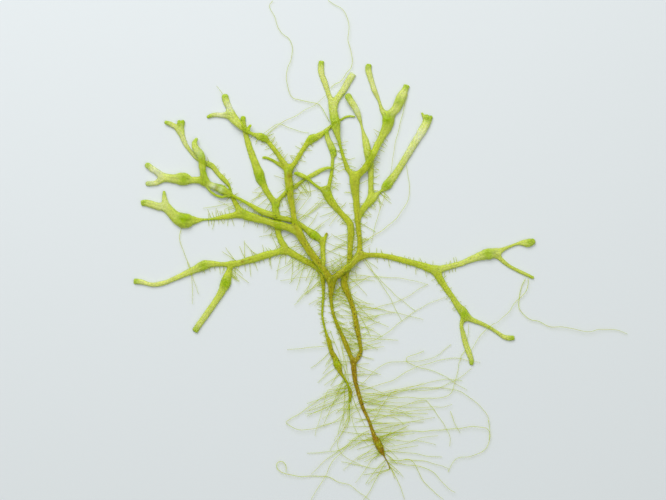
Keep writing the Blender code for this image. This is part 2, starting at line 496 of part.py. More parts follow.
def rounding(course, s, outward, raised=0.0):
    """The cross-sections and the pole of a rounded end that starts at a distance s."""
    x, y, width, lift = course.at(s)
    reach = outward * TIP_ROUNDING * width
    turns = [math.radians(angle) for angle in TIP_ANGLES]
    rings = [section(course, s, math.cos(t), reach * math.sin(t), raised) for t in turns]
    end = Vector((x, y)) + course.heading(s) * reach
    return rings, (end.x, end.y, lift + raised + thickness(width) / 2)


def limb(course, start=0.0, end=None, ending="tip", rooted=0):
    """One ribbon along part of a course.

    A rooted limb starts rounded, inside the limb that it grows from, and that many times
    ROOTED_LIFT higher. Limbs that grow from one place differ in it, so no two faces coincide.
    One with the ending tip is rounded off where its course ends, with the ending fork beyond
    that, and with the ending split it has a flat face there.
    """
    end = course.length if end is None else end
    if ending == "tip":
        end -= TIP_ROUNDING * course.at(end)[2]
    rings = []
    for s in course.stations(start, end, RING_SPACING):
        raised = rooted * ROOTED_LIFT * max(0.0, 1 - s / ROOTED_REACH)
        rings.append(section(course, s, raised=raised))
    first_pole = last_pole = None
    if rooted:
        root, first_pole = rounding(course, start, -1, rooted * ROOTED_LIFT)
        rings = root[::-1] + rings
    if ending != "split":
        rounded, last_pole = rounding(course, end, 1)
        rings += rounded
    return mesh_object("limb", rings, first_pole, last_pole)


def arm(course, rooted=1):
    """The short arm of a fork that stays with the branch below it."""
    return limb(course, end=ARM, ending="split", rooted=rooted)


def past_arm(course, end=None, ending="tip"):
    """The branch itself, from the split in its arm onwards."""
    return limb(course, start=ARM + SPLIT_GAP, end=end, ending=ending)


def shoot(course, rooted=1):
    """A side shoot or a forked tip that is fused to its branch."""
    return limb(course, rooted=rooted)


def material(name, colour, roughness):
    made = bpy.data.materials.new(name)
    made.use_nodes = True
    shader = made.node_tree.nodes["Principled BSDF"]
    shader.inputs["Base Color"].default_value = (*colour, 1.0)
    shader.inputs["Roughness"].default_value = roughness
    shader.inputs["Metallic"].default_value = 0.0
    return made


def finish(piece, name, colour):
    """Names a finished piece, gives it its own material and shades it smooth."""
    piece.name = name
    piece.data.name = name
    piece.data.materials.clear()
    piece.data.materials.append(material(name + "_surface", colour, RIBBON_ROUGHNESS))
    piece.data.shade_smooth()


def branch(name, colour, limbs):
    """Joins limbs that grow from one another into one solid."""
    trunk = limbs[0]
    for other in limbs[1:]:
        join = trunk.modifiers.new("join", "BOOLEAN")
        join.operation = "UNION"
        join.object = other
    shape = trunk.evaluated_get(bpy.context.evaluated_depsgraph_get())
    fused = bpy.data.meshes.new_from_object(shape)
    trunk.modifiers.clear()
    trunk.data = fused
    for other in limbs[1:]:
        bpy.data.objects.remove(other)
    finish(trunk, name, colour)


def old_stems():
    base = Course(BASE_STEM)
    left_old = Course(LEFT_OLD_STEM)
    right_old = Course(RIGHT_OLD_STEM)
    left_stem = Course(LEFT_STEM)
    right_stem = Course(RIGHT_STEM)
    outer_old = Course(OUTER_OLD_STEM)
    leaf = Course(MIDDLE_LEAF)
    middle_tip = Course(MIDDLE_TIP_BRANCH)
    parting = right_old.near(*RIGHT_OLD_STEM_PARTS_AT)
    branch("base_stem", BASE_BROWN, [limb(base, rooted=1), arm(left_old), arm(right_old, 2)])
    branch("left_old_stem", OLD_OLIVE, [
        past_arm(left_old, ending="fork"), arm(left_stem), arm(right_stem, 2)])
    branch("right_old_stem", OLD_OLIVE, [past_arm(right_old, end=parting, ending="split")])
    branch("middle_stem", OLD_OLIVE, [
        limb(right_old, start=parting + SPLIT_GAP, ending="fork"), arm(leaf), arm(middle_tip, 2)])
    branch("middle_leaf", TIP_GREEN, [past_arm(leaf)])
    branch("middle_tip_branch", YOUNG_GREEN, [past_arm(middle_tip)])
    branch("outer_old_stem", OLD_OLIVE, [past_arm(outer_old)])


def left_stem_branches():
    stem = Course(LEFT_STEM)
    ribbon = Course(LONG_RIBBON)
    left = Course(LEFT_BRANCH)
    upper_left = Course(UPPER_LEFT_BRANCH)
    upper_middle = Course(UPPER_MIDDLE_BRANCH)
    parting = stem.near(*LEFT_BRANCH[0][:2]) + ARM
    branch("left_stem_lower", OLD_OLIVE, [
        past_arm(stem, end=parting, ending="split"), arm(ribbon), arm(left, 2)])
    branch("left_stem_upper", OLD_OLIVE, [
        limb(stem, start=parting + SPLIT_GAP, ending="fork"), arm(upper_left), arm(upper_middle, 2),
        shoot(Course(UPPER_LEFT_SPRIG), 3)])
    branch("upper_left_branch", YOUNG_GREEN, [
        past_arm(upper_left, ending="fork"), shoot(Course(UPPER_LEFT_TIP_UP)),
        shoot(Course(UPPER_LEFT_TIP_LEFT), 2), shoot(Course(UPPER_LEFT_SPUR), 3)])
    branch("upper_middle_branch", YOUNG_GREEN, [past_arm(upper_middle)])


def long_ribbon_branches():
    ribbon = Course(LONG_RIBBON)
    forked_tip = Course(LEFT_FORKED_TIP)
    leaf = Course(LEFT_LEAF)
    branch("long_ribbon", TIP_GREEN, [
        past_arm(ribbon, ending="fork"), shoot(Course(LONG_RIBBON_SPUR)), shoot(Course(LONG_RIBBON_RIM), 2),
        arm(forked_tip, 3), arm(leaf, 4)])
    branch("left_forked_tip", YOUNG_GREEN, [
        past_arm(forked_tip, ending="fork"), shoot(Course(LEFT_FORKED_TIP_UPPER)),
        shoot(Course(LEFT_FORKED_TIP_LOWER), 2)])
    branch("left_leaf", TIP_GREEN, [past_arm(leaf)])


def left_branches():
    left = Course(LEFT_BRANCH)
    far_left = Course(FAR_LEFT_BRANCH)
    high_left = Course(HIGH_LEFT_BRANCH)
    branch("left_branch", YOUNG_GREEN, [past_arm(left, ending="fork"), arm(far_left), arm(high_left, 2)])
    branch("far_left_branch", YOUNG_GREEN, [
        past_arm(far_left, ending="fork"), shoot(Course(FAR_LEFT_TIP_LEFT)),
        shoot(Course(FAR_LEFT_TIP_UP), 2)])
    branch("high_left_branch", YOUNG_GREEN, [
        past_arm(high_left, ending="fork"), shoot(Course(HIGH_LEFT_TIP_LEFT)),
        shoot(Course(HIGH_LEFT_TIP_UP), 2)])


def lower_left_branches():
    stem = Course(LOWER_LEFT_STEM)
    lower_left = Course(LOWER_LEFT_BRANCH)
    drooping = Course(DROOPING_LEFT_BRANCH)
    inner_stem = Course(INNER_LEFT_STEM)
    inner = Course(INNER_LEFT_BRANCH)
    crossing = Course(CROSSING_BRANCH)
    branch("lower_left_stem", YOUNG_GREEN, [
        limb(stem, ending="fork", rooted=1), arm(inner_stem), arm(Course(OUTER_OLD_STEM), 2),
        arm(lower_left, 3), arm(drooping, 4)])
    branch("lower_left_branch", YOUNG_GREEN, [past_arm(lower_left)])
    branch("drooping_left_branch", YOUNG_GREEN, [past_arm(drooping)])
    branch("inner_left_stem", YOUNG_GREEN, [
        past_arm(inner_stem, ending="fork"), arm(inner), arm(crossing, 2)])
    branch("inner_left_branch", YOUNG_GREEN, [past_arm(inner)])
    branch("crossing_branch", YOUNG_GREEN, [past_arm(crossing)])


def right_branches():
    stem = Course(RIGHT_STEM)
    right = Course(RIGHT_BRANCH)
    centre = Course(CENTRE_STEM)
    upper = Course(RIGHT_UPPER_TIP)
    lower = Course(RIGHT_LOWER_BRANCH)
    out = Course(RIGHT_LOWER_TIP_OUT)
    down = Course(RIGHT_LOWER_TIP_DOWN)
    branch("right_stem", OLD_OLIVE, [past_arm(stem, ending="fork"), arm(right), arm(centre, 2)])
    branch("right_branch", YOUNG_GREEN, [past_arm(right, ending="fork"), arm(upper), arm(lower, 2)])
    branch("right_upper_tip", YOUNG_GREEN, [
        past_arm(upper, ending="fork"), shoot(Course(RIGHT_UPPER_TIP_OUT)),
        shoot(Course(RIGHT_UPPER_TIP_DOWN), 2)])
    branch("right_lower_branch", YOUNG_GREEN, [past_arm(lower, ending="fork"), arm(out), arm(down, 2)])
    branch("right_lower_tip_out", YOUNG_GREEN, [past_arm(out)])
    branch("right_lower_tip_down", YOUNG_GREEN, [past_arm(down)])


def top_branches():
    centre = Course(CENTRE_STEM)
    side = Course(RIGHT_SIDE_STEM)
    top = Course(TOP_BRANCH)
    top_right = Course(TOP_RIGHT_BRANCH)
    top_right_left = Course(TOP_RIGHT_TIP_LEFT)
    inner = Course(INNER_RIGHT_BRANCH)
    outer = Course(OUTER_RIGHT_BRANCH)
    parting = centre.near(*RIGHT_SIDE_STEM[0][:2]) + ARM
    branch("centre_stem_lower", OLD_OLIVE, [past_arm(centre, end=parting, ending="split"), arm(side)])
    branch("centre_stem_upper", OLD_OLIVE, [
        limb(centre, start=parting + SPLIT_GAP, ending="fork"), arm(top), arm(top_right, 2)])
    branch("top_branch", YOUNG_GREEN, [
        past_arm(top, ending="fork"), shoot(Course(TOP_TIP_LEFT)), shoot(Course(TOP_TIP_RIGHT), 2)])
    branch("top_right_branch", YOUNG_GREEN, [
        past_arm(top_right, ending="fork"), shoot(Course(TOP_RIGHT_TIP_RIGHT)), arm(top_right_left, 2)])
    branch("top_right_tip_left", YOUNG_GREEN, [past_arm(top_right_left)])
    branch("right_side_stem", YOUNG_GREEN, [past_arm(side, ending="fork"), arm(inner), arm(outer, 2)])
    branch("inner_right_branch", YOUNG_GREEN, [past_arm(inner)])
    branch("outer_right_branch", YOUNG_GREEN, [past_arm(outer), shoot(Course(OUTER_RIGHT_HORN))])


def rhizoids():
    for i, (name, steps) in enumerate(RHIZOIDS.items()):
        course = Course([(x, y, 1, 0) for x, y in steps])
        floor = THREAD_LIFT + THREAD_LAYER_STEP * (i % THREAD_LAYERS)
        rings = []
        for s in course.stations(0.0, course.length, THREAD_SPACING):
            place = course.at(s).xy
            width = THREAD_WIDTH + (THREAD_TIP_WIDTH - THREAD_WIDTH) * s / course.length
            rings.append(ring(place, course.heading(s), width, width, floor + width / 2, THREAD_SIDES))
        finish(mesh_object(name, rings, None, None), name, THREAD_GREEN)


def main():
    for item in list(bpy.data.objects):
        bpy.data.objects.remove(item)
    old_stems()
    left_stem_branches()
    long_ribbon_branches()
    left_branches()
    lower_left_branches()
    right_branches()
    top_branches()
    rhizoids()


main()
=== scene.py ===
"""Riccia: the look of the whole plant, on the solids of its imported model.

Laid out as an add-on: properties for the sizes and colours, one operator for each group of branches,
one for each group of rhizoids and one for the stage. Run as a script, it makes everything in order.
"""

import json
import math

import bpy
import numpy as np
from bpy.props import FloatProperty, FloatVectorProperty, PointerProperty
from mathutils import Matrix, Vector

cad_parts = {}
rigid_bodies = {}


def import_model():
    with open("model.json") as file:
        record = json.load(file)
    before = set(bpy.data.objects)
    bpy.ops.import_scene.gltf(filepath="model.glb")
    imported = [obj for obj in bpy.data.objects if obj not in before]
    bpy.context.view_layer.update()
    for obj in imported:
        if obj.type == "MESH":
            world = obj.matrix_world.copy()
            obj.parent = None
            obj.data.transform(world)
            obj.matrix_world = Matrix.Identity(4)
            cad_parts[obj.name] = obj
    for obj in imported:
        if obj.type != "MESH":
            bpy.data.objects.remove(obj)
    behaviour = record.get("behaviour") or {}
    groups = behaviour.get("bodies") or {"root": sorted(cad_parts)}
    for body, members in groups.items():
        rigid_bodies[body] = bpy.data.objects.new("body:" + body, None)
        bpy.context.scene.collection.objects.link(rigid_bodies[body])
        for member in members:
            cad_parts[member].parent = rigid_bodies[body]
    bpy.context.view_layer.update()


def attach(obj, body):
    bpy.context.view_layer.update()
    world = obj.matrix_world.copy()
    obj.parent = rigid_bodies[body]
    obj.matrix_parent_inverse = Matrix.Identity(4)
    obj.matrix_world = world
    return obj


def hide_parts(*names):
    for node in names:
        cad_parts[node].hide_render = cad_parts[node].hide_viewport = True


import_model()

bl_info = {
    "name": "Riccia",
    "version": (1, 0, 0),
    "blender": (4, 5, 0),
    "location": "View3D > Sidebar > Riccia",
    "description": "Ribbons and rhizoids of a loose riccia plant",
    "category": "Object",
}

MM = 0.001  # in metres
STEP = 0.1 * MM  # one step of the drawing grid. Sizes below are in grid steps
ORIGIN_X = 380.3  # the part's origin on the drawing grid, whose x runs right and y runs down
ORIGIN_Y = 250.0

# Across a ribbon. Its thickness is THIN_THICKNESS + THICKNESS_SHARE * width
THIN_THICKNESS = 1.2
THICKNESS_SHARE = 0.37
MARGIN_HEIGHT = 0.22  # of a ribbon's margin, as a share of its thickness
CROWN = (3.2, 0.7)  # how fast its top rises from the margin, and how full the rise is
BELLY = 5  # how fast its underside falls from the margin
NOTCH_WIDTH = 0.3  # of a notched tip, in half widths of the ribbon, as is the next
NOTCH_START = -0.6  # where the notch starts, seen from the last full width

# The skin's relief: the height of its lumps, and (their size, random seed)
LUMP_HEIGHT = 0.10
SWOLLEN_HEIGHT = 0.25  # added to it in swollen places
LUMPS = (2.3, 5)
FINE_HEIGHT = 0.07
FINE_LUMPS = (1.3, 6)
BULGE_HEIGHT = 0.55  # of the margins of swollen places, outwards
BULGES = (1.9, 9)
MARGIN_WAVES = (3.1, 3)

# Ranges in which something fades in or out. A half is half of a ribbon's width
WAVY_HALF = (1.2, 3.0)  # the margins of narrow ribbons don't wander
CHANNEL_HALF = (1.5, 3.0)  # and they have no channel
CHANNEL_DEPTH = (0.35, 1.0)  # across a ribbon, from 0 at its margin to 1 in its middle
CHANNEL_AGE = (0.15, 0.6)
NECK_HALF = (1.0, 2.4)  # a ribbon narrower than this is a neck
NECK_AGE = (0.1, 0.3)
TIP_FADE = (2.0, 9.0)  # how far from its end a tip's dense green fades out
COVER_INSIDE = (-0.5, 1.0)  # how far inside its margin a ribbon covers what it crosses

# How dense the green is besides the tips and swollen places, from 0 to 1: painted shade where other
# ribbons cross, and narrow necks
CROSSING_SHADE = 0.5
NECK_DENSE = 0.55
CROSSING_SHADE_TO_OLD = 0.22  # how far painted shade shifts a ribbon towards the old colour where others cross it
SWOLLEN_GREEN = 0.5  # the share of its brown that a swollen place loses

# How the skin is worked out
COURSE_SPACING = 0.8  # between the points of a ribbon's course
SHEET_EDGE = 12  # how far the grid reaches beyond the courses
FIELD_REACH = 3.5  # how far outside its margin a ribbon still counts
BOX_SPARE = 1.5  # added round the part of the grid that a ribbon uses
CLEAR_OF_ENDS = 0.04  # the share of a cell's side that the margin stays clear of, at both its ends
WELD_DISTANCE = 0.002  # corners nearer than about this are one
OUTSIDE = -99.0  # how far inside a margin a point is that lies near no ribbon
NEAR_FORK = 11.0  # how far a ribbon reaches into the layer of one that forks from it
SLANTED_FORKS = {"right_side_stem": 17.0}  # the same, where a ribbon leaves its stem at a small angle
SKIN_VALUES = ("age", "dark", "brown", "pale", "depth")  # what each corner of the skin carries

# Rhizoids
THREAD_TAPER = 0.4  # the share of its width that a rhizoid loses towards its tip
ROOT_HEIGHT = 0.45  # where a short one leaves its ribbon, as a share of the ribbon's thickness
SHORT_HEIGHTS = (1.4, 3.4)  # the heights between which the short ones come to rest
SHORT_FALL = 14  # how far past the margin they do
SHORT_CURL = 0.4  # the most that one turns on its way, in radians
SHORT_SPACING = 2.5  # between the points of a short one's line
LONG_HEIGHTS = (1.2, 3.4)  # the heights between which the long ones lie
LONG_SPACING = 2.2
LOOSE_WIDTH = 0.9  # of the long ones without a solid, as a share of the others' width
LOOSE_SEED, BASE_SEED, STEM_SEED = 100, 200, 300  # each one's random seed counts up from these

# The stage, in metres unless it says otherwise
GROUND_HALF = 0.6  # half the side of the ground
GROUND_DROP = 0.00002  # the ground is this far below the plant, so that no two faces share a place
LAMPS = (  # name, place, size, and power as a share of the main light's
    ("key_light", (-0.06, 0.15, 0.2), 0.2, 1.0),
    ("fill_light", (0.25, -0.12, 0.45), 0.45, 0.9),
)
FRAME_WIDTH = 0.0666  # of the picture on the ground, at one grid step a pixel
FRAME_MIDDLE = (333, 250)  # its middle on the drawing grid
FOCAL_LENGTH = 100.0  # in millimetres, on a sensor 36 mm wide

# How a tip ends: its reach beyond the last full width and its squareness, then its notch's depth,
# in half widths, and how dense and green it is
TIPS = {
    "round": (0.95, 2.1, 0.0, 0.62),
    "blunt": (0.8, 2.6, 0.1, 0.62),
    "notched": (0.7, 3.0, 0.3, 0.7),
    "square": (0.45, 4.0, 0.1, 0.2),
    "fine": (1.0, 2.0, 0.0, 0.5),
}

# How each ribbon grows: its layer (ribbons of one layer don't cross), the ribbon that it forks
# from, its tip, and its age at its start and end, from 0, just grown, to 1, the oldest
GROWTH = {
    "base_stem": (0, None, "fine", 1, 1),
    "left_old_stem": (0, "base_stem", "", 0.95, 0.7),
    "right_old_stem": (1, "base_stem", "", 0.95, 0.42),
    "outer_old_stem": (2, "lower_left_stem", "fine", 0.45, 0.9),
    "left_stem": (0, "left_old_stem", "", 0.7, 0.55),
    "upper_left_branch": (0, "left_stem", "", 0.5, 0.2),
    "upper_left_tip_up": (0, "upper_left_branch", "round", 0.2, 0.05),
    "upper_left_tip_left": (0, "upper_left_branch", "round", 0.2, 0.1),
    "upper_left_spur": (0, "upper_left_branch", "fine", 0.4, 0.3),
    "upper_left_sprig": (0, "left_stem", "fine", 0.5, 0.35),
    "upper_middle_branch": (2, "left_stem", "fine", 0.5, 0.25),
    "long_ribbon": (3, "left_stem", "", 0.5, 0.35),
    "long_ribbon_spur": (3, "long_ribbon", "fine", 0.5, 0.6),
    "long_ribbon_rim": (3, "long_ribbon", "", 0.35, 0.35),
    "left_forked_tip": (3, "long_ribbon", "", 0.35, 0.1),
    "left_forked_tip_upper": (3, "left_forked_tip", "round", 0.1, 0),
    "left_forked_tip_lower": (3, "left_forked_tip", "round", 0.1, 0.05),
    "left_leaf": (3, "long_ribbon", "fine", 0.35, 0.2),
    "left_branch": (0, "left_stem", "", 0.5, 0.4),
    "far_left_branch": (0, "left_branch", "", 0.42, 0.24),
    "far_left_tip_left": (0, "far_left_branch", "blunt", 0.24, 0.1),
    "far_left_tip_up": (0, "far_left_branch", "fine", 0.15, 0.15),
    "high_left_branch": (0, "left_branch", "", 0.45, 0.1),
    "high_left_tip_left": (0, "high_left_branch", "round", 0.1, 0.05),
    "high_left_tip_up": (0, "high_left_branch", "notched", 0.1, 0),
    "lower_left_stem": (2, None, "", 0.4, 0.35),
    "lower_left_branch": (2, "lower_left_stem", "blunt", 0.35, 0),
    "drooping_left_branch": (2, "lower_left_stem", "blunt", 0.4, 0.08),
    "inner_left_stem": (2, "lower_left_stem", "", 0.45, 0.35),
    "inner_left_branch": (2, "inner_left_stem", "round", 0.42, 0.3),
    "crossing_branch": (2, "inner_left_stem", "fine", 0.4, 0.3),
    "middle_leaf": (1, "right_old_stem", "round", 0.45, 0.3),
    "middle_tip_branch": (1, "right_old_stem", "round", 0.5, 0.1),
    "right_stem": (0, "left_old_stem", "", 0.65, 0.5),
    "right_branch": (0, "right_stem", "", 0.62, 0.34),
    "right_upper_tip": (0, "right_branch", "", 0.25, 0.1),
    "right_upper_tip_out": (0, "right_upper_tip", "round", 0.2, 0.2),
    "right_upper_tip_down": (0, "right_upper_tip", "fine", 0.25, 0.2),
    "right_lower_branch": (0, "right_branch", "", 0.4, 0.3),
    "right_lower_tip_out": (0, "right_lower_branch", "blunt", 0.3, 0.15),
    "right_lower_tip_down": (0, "right_lower_branch", "round", 0.3, 0.12),
    "centre_stem": (0, "right_stem", "", 0.7, 0.45),
    "top_branch": (0, "centre_stem", "", 0.5, 0.2),
    "top_tip_left": (0, "top_branch", "blunt", 0.15, 0),
    "top_tip_right": (0, "top_branch", "square", 0.15, 0.05),
    "top_right_branch": (0, "centre_stem", "", 0.5, 0.25),
    "top_right_tip_left": (0, "top_right_branch", "round", 0.2, 0),
    "top_right_tip_right": (0, "top_right_branch", "blunt", 0.15, 0),
    "right_side_stem": (3, "centre_stem", "", 0.45, 0.35),
    "inner_right_branch": (3, "right_side_stem", "round", 0.35, 0.1),
    "outer_right_branch": (3, "right_side_stem", "notched", 0.3, 0),
    "outer_right_horn": (3, "outer_right_branch", "fine", 0.15, 0.2),
}

